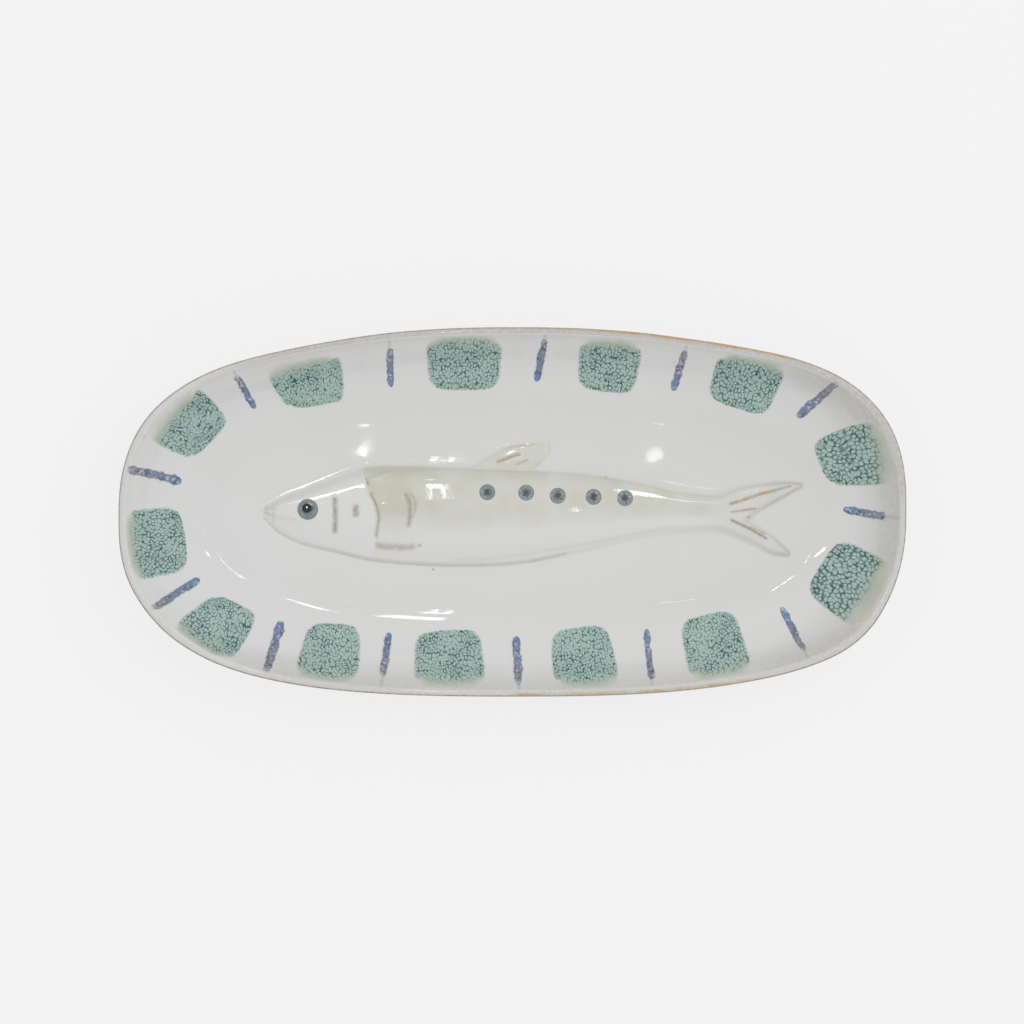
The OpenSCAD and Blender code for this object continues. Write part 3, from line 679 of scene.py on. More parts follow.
class PLATTER_OT_fish_body(bpy.types.Operator):
    """Model the fish's head with its gill cover, and its trunk"""

    bl_idname = "platter.fish_body"
    bl_label = "Fish Head and Trunk"

    def execute(self, context):
        fish = Fish()

        def stations(places, count, bend):
            """A grid over the body, its stations bent to the gill cover's edge by a share."""
            x, at = fish.x(places), np.clip(places, 0, ROOT)
            low, high = np.column_stack([x, fish.belly(at)]), np.column_stack([x, fish.back(at)])
            grid = across(low, high, (0, 0.003), (0, 0.007), count)
            height = np.clip(2 * (grid[..., 1] - low[:, None, 1]) / (high - low)[:, None, 1] - 1, -1, 1)
            grid[..., 0] += bend[:, None] * (fish.gill_x(height) - fish.x(GILL_PLACE))
            return grid, height

        def near_gill(places, height, reach):
            """How near to the open part of the gill cover's edge, from 0 to 1."""
            along = bell((places - GILL_PLACE) * fish.length / reach)
            return along[:, None] * ease((height + 0.75) / 0.35)

        head = np.concatenate([np.linspace(-0.012, 0, 9)[:-1], np.linspace(0, GILL_PLACE, 124)])
        grid, height = stations(head, 96, np.clip(head / GILL_PLACE, 0, 1) ** 3)
        line = grid[-1, (height[-1] > -0.5) & (height[-1] < 0.42)] / MM
        gill = (line, 1.3, 0, 0.62, 0)
        step = fish.size.gill_step * near_gill(head, height, 0.009)
        rounding = 0.5 * fish.size.gill_step * near_gill(head, height, 0.0005)
        lines = [*HEAD_LINES, gill]
        relief_piece("fish_head_glazed", grid, fish, lines, "fish_head", "head_glaze", rounding, step)

        trunk = np.linspace(GILL_PLACE, ROOT, 390)
        bend = np.clip(1 - (trunk - GILL_PLACE) / 0.1, 0, 1) ** 2
        grid, height = stations(trunk, 100, bend)
        finned = ease((trunk - FIN_START) / 0.01) * ease((FIN_END - trunk) / 0.01)
        over = np.where(grid[..., 1] > fish.back(trunk)[:, None] + 1e-6, 1.0, 0.0)
        sink = 0.0002 * near_gill(trunk, height, 0.0014) + 0.0005 * over * finned[:, None]
        lines = [*TRUNK_LINES, gill, ([(-66.4, 14.6), (-65.2, 12.6)], 1.3, 0.3, 0.6, 0)]
        relief_piece("fish_trunk_glazed", grid, fish, lines, "fish_trunk", sink=sink)
        return {"FINISHED"}


class PLATTER_OT_fins(bpy.types.Operator):
    """Model the dorsal fin and the two lobes of the tail"""

    bl_idname = "platter.fins"
    bl_label = "Fin and Tail"

    def execute(self, context):
        fish = Fish()
        base = np.linspace(FIN_START, FIN_END, 150)
        low = np.column_stack([fish.x(base), fish.back(base) - 0.0006])
        top = np.array([fish.fin_line[np.argmin(np.abs(fish.fin_line[:45, 0] - x)), 1] for x in low[:, 0]])
        top = np.maximum(np.where(low[:, 0] > 0.0173, 0.0304, top), low[:, 1] + 0.003)
        high = np.column_stack([low[:, 0], np.convolve(np.pad(top, 5, "edge"), np.ones(11) / 11, "valid") + 0.001])
        grid = across(low, high, (0, 0.0001), (0, 0.0026), 60)
        relief_piece("dorsal_fin_glazed", grid, fish, FIN_LINES, "dorsal_fin", sink=-0.00002)

        def lobe(edge, tip):
            """An edge of a lobe in even steps, run on past the tip."""
            at, spots = np.linspace(0, 1, 120), np.linspace(0, 1, len(edge))
            line = np.stack([np.interp(at, spots, edge[:, k]) for k in (0, 1)], -1)
            return np.concatenate([line, line[-1] + np.linspace(0, 1, 13)[1:, None] * np.asarray(tip)])

        def open_side(line):
            """How far an inner edge has left the other lobe, from 0 to 1."""
            return ease((line[:, :1] - fish.notch[0] + 0.0018) / 0.002)

        tip = (0.0022, 0.0003)
        low, high = lobe(fish.inner_top, tip), lobe(fish.tail_top, tip)
        grid = across(low, high, open_side(low) * (-0.0004, 0.002), (0, 0.004), 56)
        relief_piece("tail_upper_glazed", grid, fish, TAIL_LINES, "tail_upper_lobe")
        tip = (0.0018, -0.0013)
        low, high = lobe(fish.tail_low, tip), lobe(fish.inner_low, tip)
        grid = across(low, high, (0, 0.003), open_side(high) * (0.0004, 0.002), 56)
        relief_piece("tail_lower_glazed", grid, fish, TAIL_LINES, "tail_lower_lobe")
        return {"FINISHED"}


def add(tree, kind, links=None, **settings):
    """A node with its settings, and its inputs linked or set."""
    node = tree.nodes.new(kind)
    for key, value in settings.items():
        setattr(node, key, value)
    for key, value in (links or {}).items():
        if isinstance(value, bpy.types.NodeSocket):
            tree.links.new(value, node.inputs[key])
        else:
            node.inputs[key].default_value = value
    return node


def calc(tree, operation, *values, clamp=False):
    """A Math node's result."""
    node = add(tree, "ShaderNodeMath", dict(enumerate(values)), operation=operation, use_clamp=clamp)
    return node.outputs[0]


def vector_calc(tree, operation, *values):
    """A Vector Math node's result."""
    return add(tree, "ShaderNodeVectorMath", dict(enumerate(values)), operation=operation).outputs[0]


def xyz(tree, x=0.0, y=0.0, z=0.0):
    """A vector from its axes."""
    return add(tree, "ShaderNodeCombineXYZ", {0: x, 1: y, 2: z}).outputs[0]


def axes_of(tree, vector):
    """A vector's axes."""
    return add(tree, "ShaderNodeSeparateXYZ", {0: vector}).outputs


def larger_side(tree, axes):
    """How far out a place on a card lies, from 0 at its middle to 1 at its edge."""
    return calc(tree, "MAXIMUM", calc(tree, "ABSOLUTE", axes[0]), calc(tree, "ABSOLUTE", axes[1]))


def stored(tree, name, kind="FLOAT"):
    """A value stored on geometry."""
    return add(tree, "GeometryNodeInputNamedAttribute", {"Name": name}, data_type=kind).outputs[0]


def store(tree, geometry, name, vector):
    """Geometry with a vector stored on its points."""
    links = {"Geometry": geometry, "Name": name, "Value": vector}
    kinds = {"data_type": "FLOAT_VECTOR", "domain": "POINT"}
    return add(tree, "GeometryNodeStoreNamedAttribute", links, **kinds).outputs[0]


def moved(tree, geometry, **how):
    """Geometry with its points set to a Position or moved by an Offset."""
    return add(tree, "GeometryNodeSetPosition", {"Geometry": geometry, **how}).outputs[0]


def rounded_card(tree, inputs):
    """A card from -1 to 1 with rounded corners, tapered, bulging at its inner end and sagging at its outer end."""
    size = {"Size X": 2.0, "Size Y": 2.0, "Vertices X": inputs["Across"], "Vertices Y": inputs["Along"]}
    grid = add(tree, "GeometryNodeMeshGrid", size).outputs[0]
    place = add(tree, "GeometryNodeInputPosition").outputs[0]
    card = store(tree, grid, "card", place)
    x, y, _ = axes_of(tree, place)
    side, end, power = calc(tree, "ABSOLUTE", x), calc(tree, "ABSOLUTE", y), inputs["Corner power"]
    total = calc(tree, "ADD", calc(tree, "POWER", side, power), calc(tree, "POWER", end, power))
    length = calc(tree, "POWER", calc(tree, "ADD", total, 1e-9), calc(tree, "DIVIDE", 1.0, power))
    pull = calc(tree, "DIVIDE", calc(tree, "MAXIMUM", side, end), length)
    narrow = calc(tree, "MULTIPLY_ADD", y, inputs["Taper"], 1.0)
    flare = calc(tree, "MULTIPLY", calc(tree, "MULTIPLY", x, pull), narrow)
    square = calc(tree, "MULTIPLY", side, side)
    swollen = calc(tree, "MULTIPLY", calc(tree, "SUBTRACT", 1.0, square), inputs["Bulge"])
    bow = calc(tree, "MULTIPLY", swollen, calc(tree, "MINIMUM", y, 0.0))
    sag = calc(tree, "MULTIPLY", calc(tree, "MULTIPLY", square, inputs["Sag"]), calc(tree, "MAXIMUM", y, 0.0))
    reach = calc(tree, "SUBTRACT", calc(tree, "ADD", calc(tree, "MULTIPLY", y, pull), bow), sag)
    return moved(tree, card, Position=xyz(tree, flare, reach))


def spread_cards(tree, points, card, card_axes):
    """The card on each point by its stored size and turn, its ends cut to the stored skew and slant."""
    turn = stored(tree, "turn")
    spread = add(
        tree, "GeometryNodeInstanceOnPoints",
        {
            "Points": points, "Instance": card, "Scale": stored(tree, "half", "FLOAT_VECTOR"),
            "Rotation": xyz(tree, z=turn),
        },
    )
    cards = add(tree, "GeometryNodeRealizeInstances", {0: spread.outputs[0]}).outputs[0]
    outward = calc(tree, "MULTIPLY", stored(tree, "skew"), calc(tree, "MAXIMUM", card_axes[1], 0.0))
    inward = calc(tree, "MULTIPLY", stored(tree, "slant"), calc(tree, "MINIMUM", card_axes[1], 0.0))
    slide = calc(tree, "MULTIPLY", calc(tree, "SUBTRACT", outward, inward), card_axes[0])
    leaning = calc(tree, "MULTIPLY", calc(tree, "ABSOLUTE", inward), card_axes[0])
    cut = calc(tree, "MULTIPLY", calc(tree, "ADD", leaning, inward), -0.6)
    slid = {"Vector": xyz(tree, cut, slide), "Angle": turn}
    slid = add(tree, "ShaderNodeVectorRotate", slid, rotation_type="Z_AXIS").outputs[0]
    return moved(tree, cards, Offset=slid)


def film_layers(tree, inputs, cards, card_axes):
    """The films' upper and lower faces on the surface below the cards."""
    surface = add(tree, "GeometryNodeObjectInfo", {"Object": inputs["Surface"]}).outputs["Geometry"]
    drop = add(
        tree, "GeometryNodeRaycast",
        {
            "Target Geometry": surface, "Attribute": stored(tree, "wear", "FLOAT_VECTOR"),
            "Ray Direction": (0, 0, -1), "Ray Length": 1.0,
        },
        data_type="FLOAT_VECTOR",
    ).outputs
    cards = store(tree, cards, "wear", drop["Attribute"])
    rim = larger_side(tree, card_axes)
    body = calc(tree, "SUBTRACT", 1.0, calc(tree, "POWER", rim, inputs["Edge power"]))
    middle = calc(tree, "MULTIPLY", calc(tree, "MULTIPLY", rim, rim), -9.0)
    pinch = calc(tree, "MULTIPLY", calc(tree, "EXPONENT", middle), inputs["Dimple"])
    lift = calc(tree, "MULTIPLY", calc(tree, "SUBTRACT", body, pinch), inputs["Thickness"])
    below = calc(tree, "MULTIPLY", calc(tree, "MULTIPLY", body, inputs["Sink"]), -1.0)
    upper, lower = (
        moved(tree, cards, Position=vector_calc(tree, "ADD", drop["Hit Position"], xyz(tree, z=height)))
        for height in (lift, below)
    )
    return upper, add(tree, "GeometryNodeFlipFaces", {0: lower}).outputs[0]


def film_tree():
    """Glaze films laid on a surface: one rounded card on each point, dropped on the surface and thickened."""
    tree = bpy.data.node_groups.get("Glaze films")
    if tree:
        return tree
    tree = bpy.data.node_groups.new("Glaze films", "GeometryNodeTree")
    face = tree.interface
    face.new_socket(name="Geometry", in_out="INPUT", socket_type="NodeSocketGeometry")
    for name, kind in (
        ("Surface", "NodeSocketObject"), ("Corner power", "NodeSocketFloat"), ("Thickness", "NodeSocketFloat"),
        ("Sink", "NodeSocketFloat"), ("Edge power", "NodeSocketFloat"), ("Taper", "NodeSocketFloat"),
        ("Bulge", "NodeSocketFloat"), ("Sag", "NodeSocketFloat"), ("Dimple", "NodeSocketFloat"),
        ("Across", "NodeSocketInt"), ("Along", "NodeSocketInt"), ("Material", "NodeSocketMaterial"),
    ):
        face.new_socket(name=name, in_out="INPUT", socket_type=kind)
    face.new_socket(name="Geometry", in_out="OUTPUT", socket_type="NodeSocketGeometry")
    inputs = add(tree, "NodeGroupInput").outputs
    card_axes = axes_of(tree, stored(tree, "card", "FLOAT_VECTOR"))
    cards = spread_cards(tree, inputs["Geometry"], rounded_card(tree, inputs), card_axes)
    joined = add(tree, "GeometryNodeJoinGeometry")
    for layer in film_layers(tree, inputs, cards, card_axes):
        tree.links.new(layer, joined.inputs[0])
    welded = add(tree, "GeometryNodeMergeByDistance", {"Geometry": joined.outputs[0], "Distance": 1e-6}).outputs[0]
    soft = add(tree, "GeometryNodeSetShadeSmooth", {"Geometry": welded, "Shade Smooth": True}).outputs[0]
    real = add(tree, "GeometryNodeRealizeInstances", {0: soft}).outputs[0]
    done = add(tree, "GeometryNodeSetMaterial", {"Geometry": real, "Material": inputs["Material"]}).outputs[0]
    add(tree, "NodeGroupOutput", {0: done})
    return tree


def film_piece(name, places, surface, material, nodes, slot, shades, fades=None, slants=None, **inputs):
    """Films at places of X, Y, turn, half width, half length and skew of the outer end, as one plain mesh."""
    places = np.asarray(places, float)
    points = bpy.data.meshes.new(name)
    points.from_pydata(np.column_stack([places[:, :2], np.full(len(places), 0.1)]).tolist(), [], [])
    fades = np.ones(len(places)) if fades is None else fades
    slants = np.zeros(len(places)) if slants is None else slants
    marks = {"turn": places[:, 2], "skew": places[:, 5], "slant": slants, "shade": shades, "fade": fades}
    for key, values in marks.items():
        points.attributes.new(key, "FLOAT", "POINT").data.foreach_set("value", np.asarray(values, np.float32))
    halves = np.column_stack([places[:, 3:5], np.ones(len(places))])
    points.attributes.new("half", "FLOAT_VECTOR", "POINT").data.foreach_set("vector", halves.astype(np.float32).ravel())
    piece = bpy.data.objects.new(name, points)
    bpy.context.scene.collection.objects.link(piece)
    modifier = piece.modifiers.new("Glaze films", "NODES")
    tree = film_tree()
    modifier.node_group = tree
    values = {
        "Surface": surface, "Material": material, "Corner power": 5.0, "Thickness": 0.0002, "Sink": 0.0002,
        "Edge power": 5.0, "Taper": 0.0, "Bulge": 0.0, "Sag": 0.0, "Dimple": 0.0, "Across": 25, "Along": 25, **inputs,
    }
    for item in tree.interface.items_tree:
        if item.in_out == "INPUT" and item.name in values:
            modifier[item.identifier] = values[item.name]
    bpy.context.view_layer.update()
    made = bpy.data.meshes.new_from_object(piece.evaluated_get(bpy.context.evaluated_depsgraph_get()))
    piece.modifiers.clear()
    if not len(made.polygons) or min(vertex.co.z for vertex in made.vertices) < FLOOR_Z / 2:
        raise RuntimeError(f"{name} runs off the surface it lies on")
    made.name = name
    made.set_sharp_from_angle(angle=math.radians(70))
    return new_piece(name, made, nodes, slot)


def worn_and_shaded_glaze(tree, freckles):
    """White glaze, greyed and darkened by the mask on the mesh: painted shade on the floor and on the upper wall,
    thinned glaze and bare clay along the lip. Returns its colour, roughness, height and the mask's bare clay.
    """
    # Painted shade: the first axis also darkens the upper wall, the third greys the floor
    worn_and_shade, bare, pooled_and_shade = axes_of(tree, vector_mask(tree, "wear"))
    white = blend(tree, pooled_and_shade, tint("white"), tint("pooled_and_shade"))
    ground = use(tree, fired_glaze_group(), Colour=white, Freckles=freckles)
    edged = use(tree, stain_group(), Colour=ground["Colour"], Stain=tint("edge"), Mask=worn_and_shade, Breakup=0.3)
    return edged["Colour"], ground["Roughness"], ground["Height"], bare


def brushed_places(leans, shares, ends, widths):
    """Middles, turns, half sizes and outer skews of marks brushed round the wall."""
    s = dish_section()
    places = []
    for lean, share, (outer, inner), width in zip(leans, shares, ends, widths):
        shift = lean * (inner - outer) * MM / s.ways[-1] / 2
        tip = ring(s, turn_at(s, share + shift), outer * MM)
        root = ring(s, turn_at(s, share - shift), inner * MM)
        along = tip - root
        turn = math.atan2(along[1], along[0]) - math.pi / 2
        ahead, behind = (ring(s, turn_at(s, share + shift + step), outer * MM) for step in (0.01, -0.01))
        rim = ahead - behind
        slope = math.tan(math.atan2(rim[1], rim[0]) - turn)
        places.append((*((tip + root) / 2), turn, width / 2, np.hypot(*along) / 2, slope * width / 2))
    return places


class PLATTER_OT_green_patches(bpy.types.Operator):
    """Brush the green patches round the wall"""

    bl_idname = "platter.green_patches"
    bl_label = "Green Patches"

    def execute(self, context):
        sizes = context.scene.platter_marks
        widths = [sizes.patch_width * w for w in PATCH_WIDTHS]
        places = brushed_places(PATCH_LEANS, PATCH_PLACES, PATCH_ENDS, widths)
        nodes = [f"green_patch_{i:02d}" for i in range(1, 14)]
        film_piece(
            "green_patches", places, bpy.data.objects["dish"], green_glaze(), nodes, "green_glaze", PATCH_SHADES,
            PATCH_FADES, np.asarray(PATCH_SLANTS) * MM,
            Thickness=sizes.film, Bulge=0.05, Sag=0.1, Taper=0.06,
        )
        return {"FINISHED"}


class PLATTER_OT_blue_dashes(bpy.types.Operator):
    """Brush the blue dashes between the patches"""

    bl_idname = "platter.blue_dashes"
    bl_label = "Blue Dashes"

    def execute(self, context):
        sizes = context.scene.platter_marks
        widths = [sizes.dash_width * w for w in DASH_WIDTHS]
        places = brushed_places(DASH_LEANS, DASH_PLACES, DASH_ENDS, widths)
        nodes = [f"blue_dash_{i:02d}" for i in range(1, 14)]
        film_piece(
            "blue_dashes", places, bpy.data.objects["dish"], blue_glaze(), nodes, "blue_glaze",
            (np.arange(13) * 0.618) % 1, DASH_FADES,
            **{"Corner power": 4.0, "Thickness": sizes.film, "Across": 13, "Along": 41},
        )
        return {"FINISHED"}


class PLATTER_OT_eye_and_spots(bpy.types.Operator):
    """Fill the stamped pits: the eye with its pupil, and the spots along the side"""

    bl_idname = "platter.eye_and_spots"
    bl_label = "Eye and Spots"

    def execute(self, context):
        sizes = context.scene.platter_marks

        def drop(place, width):
            return (place[0] * MM, place[1] * MM, 0, width / 2, width / 2, 0)

        film_piece(
            "eye_ring_glazed", [drop(EYE, sizes.eye_width)], bpy.data.objects["fish_head_glazed"], slate_glaze(),
            ["eye_ring"], "eye_glaze", [1.0],
            **{"Corner power": 2.0, "Thickness": 0.0004, "Dimple": 0.2, "Across": 33, "Along": 33},
        )
        pupil = (EYE[0] - 0.4, EYE[1] + 0.6)
        film_piece(
            "eye_pupil_glazed", [drop(pupil, sizes.pupil_width)], bpy.data.objects["eye_ring_glazed"], pupil_glaze(),
            ["eye_pupil"], "pupil_glaze", [1.0],
            **{
                "Corner power": 2.0, "Thickness": 0.0005, "Sink": 0.0001, "Edge power": 2.0, "Across": 21, "Along": 21,
            },
        )
        film_piece(
            "side_spots", [drop(place, sizes.spot_width) for place in SPOTS], bpy.data.objects["fish_trunk_glazed"],
            slate_glaze(), [f"side_spot_{i}" for i in range(1, 6)], "eye_glaze", [0.8, 0.35, 0.45, 0.5, 0.1],
            **{"Corner power": 2.0, "Thickness": 0.0003, "Dimple": 0.5, "Across": 29, "Along": 29},
        )
        return {"FINISHED"}


def shader_group(name, inputs, outputs):
    """An empty shader group with named sockets; returns its tree and its input sockets."""
    tree = bpy.data.node_groups.new(name, "ShaderNodeTree")
    for label, kind, default in inputs:
        tree.interface.new_socket(name=label, in_out="INPUT", socket_type=kind).default_value = default
    for label, kind in outputs:
        tree.interface.new_socket(name=label, in_out="OUTPUT", socket_type=kind)
    return tree, add(tree, "NodeGroupInput").outputs


def blend(tree, factor, a, b, mode="MIX"):
    """A colour mixed from two."""
    node = add(tree, "ShaderNodeMix", {0: factor, 6: a, 7: b}, data_type="RGBA", blend_type=mode)
    return node.outputs[2]


def noise(tree, place, scale, detail=3.0, rough=0.55):
    return add(
        tree, "ShaderNodeTexNoise", {"Vector": place, "Scale": scale, "Detail": detail, "Roughness": rough}
    ).outputs[0]


def stretch(tree, value, low, high, to_low=0.0, to_high=1.0):
    """A value eased from one range to another."""
    node = add(
        tree, "ShaderNodeMapRange", {0: value, 1: low, 2: high, 3: to_low, 4: to_high}, interpolation_type="SMOOTHSTEP"
    )
    return node.outputs[0]


def fired_glaze_group():
    """Fired glaze: drifting tone, a few freckles, a faint orange-peel height and a drifting gloss."""
    tree = bpy.data.node_groups.get("Fired glaze")
    if tree:
        return tree
    tree, inputs = shader_group(
        "Fired glaze",
        [("Colour", "NodeSocketColor", (0.7, 0.7, 0.7, 1)), ("Drift", "NodeSocketFloat", 0.08),
         ("Freckles", "NodeSocketFloat", 0.5)],
        [("Colour", "NodeSocketColor"), ("Height", "NodeSocketFloat"), ("Roughness", "NodeSocketFloat")],
    )
    place = own_place(tree)
    broad, fine = noise(tree, place, 24.0, 2.0), noise(tree, place, 330.0, 2.0)
    tone = calc(tree, "MULTIPLY", stretch(tree, broad, 0.3, 0.7), inputs["Drift"])
    shaded = blend(tree, tone, inputs["Colour"], tint("pooled_and_shade"))
    cells = add(tree, "ShaderNodeTexVoronoi", {"Vector": place, "Scale": 85.0, "Randomness": 1.0})
    dots = stretch(tree, cells.outputs["Distance"], 0.03, 0.06, 1.0, 0.0)
    rare = stretch(tree, add(tree, "ShaderNodeSeparateColor", {0: cells.outputs["Color"]}).outputs[0], 0.95, 0.96)
    freckle = calc(tree, "MULTIPLY", calc(tree, "MULTIPLY", dots, rare), inputs["Freckles"])
    coloured = blend(tree, freckle, shaded, tint("freckle"))
    height = calc(tree, "MULTIPLY_ADD", fine, 0.2, noise(tree, place, 70.0, 1.0))
    gloss = stretch(tree, noise(tree, place, 120.0), 0.3, 0.75, 0.015, 0.04)
    add(tree, "NodeGroupOutput", {"Colour": coloured, "Height": height, "Roughness": gloss})
    return tree


def brush_edge_group():
    """Cover of a brushed block from its own card: crisp inner end, crisp sides and an outer end that thins away."""
    tree = bpy.data.node_groups.get("Brush edge")
    if tree:
        return tree
    tree, inputs = shader_group(
        "Brush edge",
        [("Side", "NodeSocketFloat", 0.1), ("Fade", "NodeSocketFloat", 0.5), ("Ragged", "NodeSocketFloat", 0.06)],
        [("Cover", "NodeSocketFloat"), ("Thin", "NodeSocketFloat"), ("Bead", "NodeSocketFloat")],
    )
    card = vector_mask(tree, "card")
    place = own_place(tree)
    wobble = calc(tree, "SUBTRACT", noise(tree, place, 380.0, 3.0), 0.5)
    wobble = calc(tree, "MULTIPLY", wobble, inputs["Ragged"])
    axes = axes_of(tree, card)
    side = calc(tree, "ADD", calc(tree, "ABSOLUTE", axes[0]), wobble)
    inner = calc(tree, "ADD", calc(tree, "MULTIPLY", axes[1], -1.0), wobble)
    shoulder = calc(tree, "MULTIPLY_ADD", calc(tree, "POWER", calc(tree, "ABSOLUTE", axes[0]), 4.0), 0.1, axes[1])
    outer = calc(tree, "MULTIPLY_ADD", wobble, 2.0, shoulder)
    margin = calc(tree, "SUBTRACT", 0.94, inputs["Side"])
    sides = stretch(tree, side, margin, 0.94, 1.0, 0.0)
    ends = stretch(tree, inner, 0.88, 0.94, 1.0, 0.0)
    thin = stretch(tree, outer, calc(tree, "SUBTRACT", inputs["Fade"], 0.35), calc(tree, "ADD", inputs["Fade"], 0.35))
    kept = stretch(tree, outer, inputs["Fade"], 1.04, 1.0, 0.0)
    bead = stretch(tree, calc(tree, "MAXIMUM", side, inner), 0.6, 0.9)
    block = calc(tree, "MULTIPLY", calc(tree, "MULTIPLY", sides, ends), kept)
    add(tree, "NodeGroupOutput", {"Cover": block, "Thin": thin, "Bead": bead})
    return tree


def stain_group():
    """A stain over a colour by a mask that breaks up finely."""
    tree = bpy.data.node_groups.get("Clay stain")
    if tree:
        return tree
    tree, inputs = shader_group(
        "Clay stain",
        [("Colour", "NodeSocketColor", (0.7, 0.7, 0.7, 1)), ("Stain", "NodeSocketColor", (0.3, 0.2, 0.1, 1)),
         ("Mask", "NodeSocketFloat", 0.0), ("Breakup", "NodeSocketFloat", 0.5)],
        [("Colour", "NodeSocketColor")],
    )
    place = own_place(tree)
    grain = stretch(tree, noise(tree, place, 520.0, 4.0), 0.32, 0.62)
    keep = calc(tree, "SUBTRACT", 1.0, calc(tree, "MULTIPLY", calc(tree, "SUBTRACT", 1.0, grain), inputs["Breakup"]))
    mask = calc(tree, "MULTIPLY", inputs["Mask"], keep, clamp=True)
    add(tree, "NodeGroupOutput", {"Colour": blend(tree, mask, inputs["Colour"], inputs["Stain"])})
    return tree


def use(tree, group, **links):
    """A group placed in a material, with its inputs linked or set."""
    return add(tree, "ShaderNodeGroup", links, node_tree=group).outputs


def tint(name):
    """A colour of the glazes, with full alpha."""
    return (*getattr(bpy.context.scene.platter_glazes, name), 1.0)


def mask(tree, name):
    """A mask stored on the mesh."""
    return add(tree, "ShaderNodeAttribute", attribute_name=name).outputs["Fac"]


def vector_mask(tree, name):
    """A vector stored on the mesh."""
    return add(tree, "ShaderNodeAttribute", attribute_name=name).outputs["Vector"]


def own_place(tree):
    """Places in the part's frame."""
    return add(tree, "ShaderNodeTexCoord").outputs["Object"]


def glaze(name, paint, ior=1.58):
    """A glossy fired material; paint returns its colour, roughness, bump height and bump depth."""
    material = bpy.data.materials.get(name)
    if material:
        return material
    material = bpy.data.materials.new(name)
    material.use_nodes = True
    tree = material.node_tree
    shader = tree.nodes["Principled BSDF"]
    shader.inputs["IOR"].default_value = ior
    base, rough, height, depth = paint(tree)
    tree.links.new(base, shader.inputs["Base Color"])
    tree.links.new(rough, shader.inputs["Roughness"])
    bump = add(tree, "ShaderNodeBump", {"Height": height, "Strength": 1.0, "Distance": depth})
    tree.links.new(bump.outputs[0], shader.inputs["Normal"])
    return material


def dish_glaze():
    def paint(tree):
        place = own_place(tree)
        ground, rough, height, bare = worn_and_shaded_glaze(tree, 0.5)
        drift = stretch(tree, noise(tree, place, 90.0, 3.0), 0.35, 0.6, 0.35, 1.0)
        bare = calc(tree, "MULTIPLY", drift, bare)
        clayed = use(tree, stain_group(), Colour=ground, Stain=tint("amber"), Mask=bare, Breakup=0.3)
        return clayed["Colour"], rough, height, 0.000008

    return glaze("White glaze", paint)


def fish_glaze():
    def paint(tree):
        place = own_place(tree)
        ground, rough, height, _ = worn_and_shaded_glaze(tree, 0.3)
        drift = stretch(tree, noise(tree, place, 75.0, 3.0), 0.25, 0.75, 0.6, 1.15)
        wash = calc(tree, "MULTIPLY", mask(tree, "olive"), drift, clamp=True)
        washed = blend(tree, wash, ground, tint("olive"))
        stained = washed
        for name, breakup in (("iron", 0.45), ("amber", 0.6)):
            over = {"Colour": stained, "Stain": tint(name), "Mask": mask(tree, name), "Breakup": breakup}
            stained = use(tree, stain_group(), **over)["Colour"]
        return stained, rough, height, 0.00002

    return glaze("Olive wash glaze", paint)


def green_glaze():
    def paint(tree):
        place = own_place(tree)
        ground, rough, height, _ = worn_and_shaded_glaze(tree, 0.0)
        edge = use(tree, brush_edge_group(), Side=0.1, Fade=mask(tree, "fade"), Ragged=0.07)
        coarse = mask(tree, "shade")
        card = vector_mask(tree, "card")
        half = vector_mask(tree, "half")
        turn = mask(tree, "turn")
        apart = xyz(tree, turn, calc(tree, "MULTIPLY", turn, 0.7))
        brushed = vector_calc(tree, "MULTIPLY", vector_calc(tree, "MULTIPLY", card, half), (1.0, 0.9, 0.0))
        flat = vector_calc(tree, "ADD", brushed, apart)
        warp = add(tree, "ShaderNodeTexNoise", {"Vector": flat, "Scale": 1000.0}).outputs["Color"]
        bent = add(
            tree, "ShaderNodeVectorMath", {0: warp, 1: (0.0013, 0.0013, 0), 2: flat}, operation="MULTIPLY_ADD"
        ).outputs[0]
        cells = {"Vector": bent, "Scale": calc(tree, "MULTIPLY_ADD", coarse, -400.0, 960.0), "Randomness": 0.9}
        rim, core = (
            add(tree, "ShaderNodeTexVoronoi", cells, feature=feature, voronoi_dimensions="2D").outputs["Distance"]
            for feature in ("DISTANCE_TO_EDGE", "F1")
        )
        crack = calc(tree, "MULTIPLY_ADD", rim, -1.3, core)
        dense = stretch(tree, noise(tree, place, 110.0, 2.0), 0.32, 0.68, 0.4, 0.14)
        dense = calc(tree, "MULTIPLY_ADD", coarse, -0.13, dense)
        vein = stretch(tree, crack, dense, calc(tree, "ADD", dense, 0.18))
        vein = calc(tree, "MULTIPLY", vein, stretch(tree, noise(tree, flat, 380.0, 2.0), 0.35, 0.62, 0.5, 1.0))
        vein = calc(tree, "MULTIPLY", vein, stretch(tree, edge["Thin"], 0.1, 0.75, 1.0, 0.0))
        vein = calc(tree, "MULTIPLY_ADD", edge["Bead"], 0.05, vein, clamp=True)
        body = blend(tree, edge["Thin"], tint("mint"), tint("haze"))
        inky = stretch(tree, noise(tree, place, 260.0, 2.0), 0.5, 0.75)
        ink = blend(tree, inky, tint("teal"), tint("ink"))
        veined = blend(tree, vein, body, ink)
        colour_out = blend(tree, edge["Cover"], ground, veined)
        return colour_out, rough, calc(tree, "SUBTRACT", height, vein), 0.00002

    return glaze("Crawled green glaze", paint)


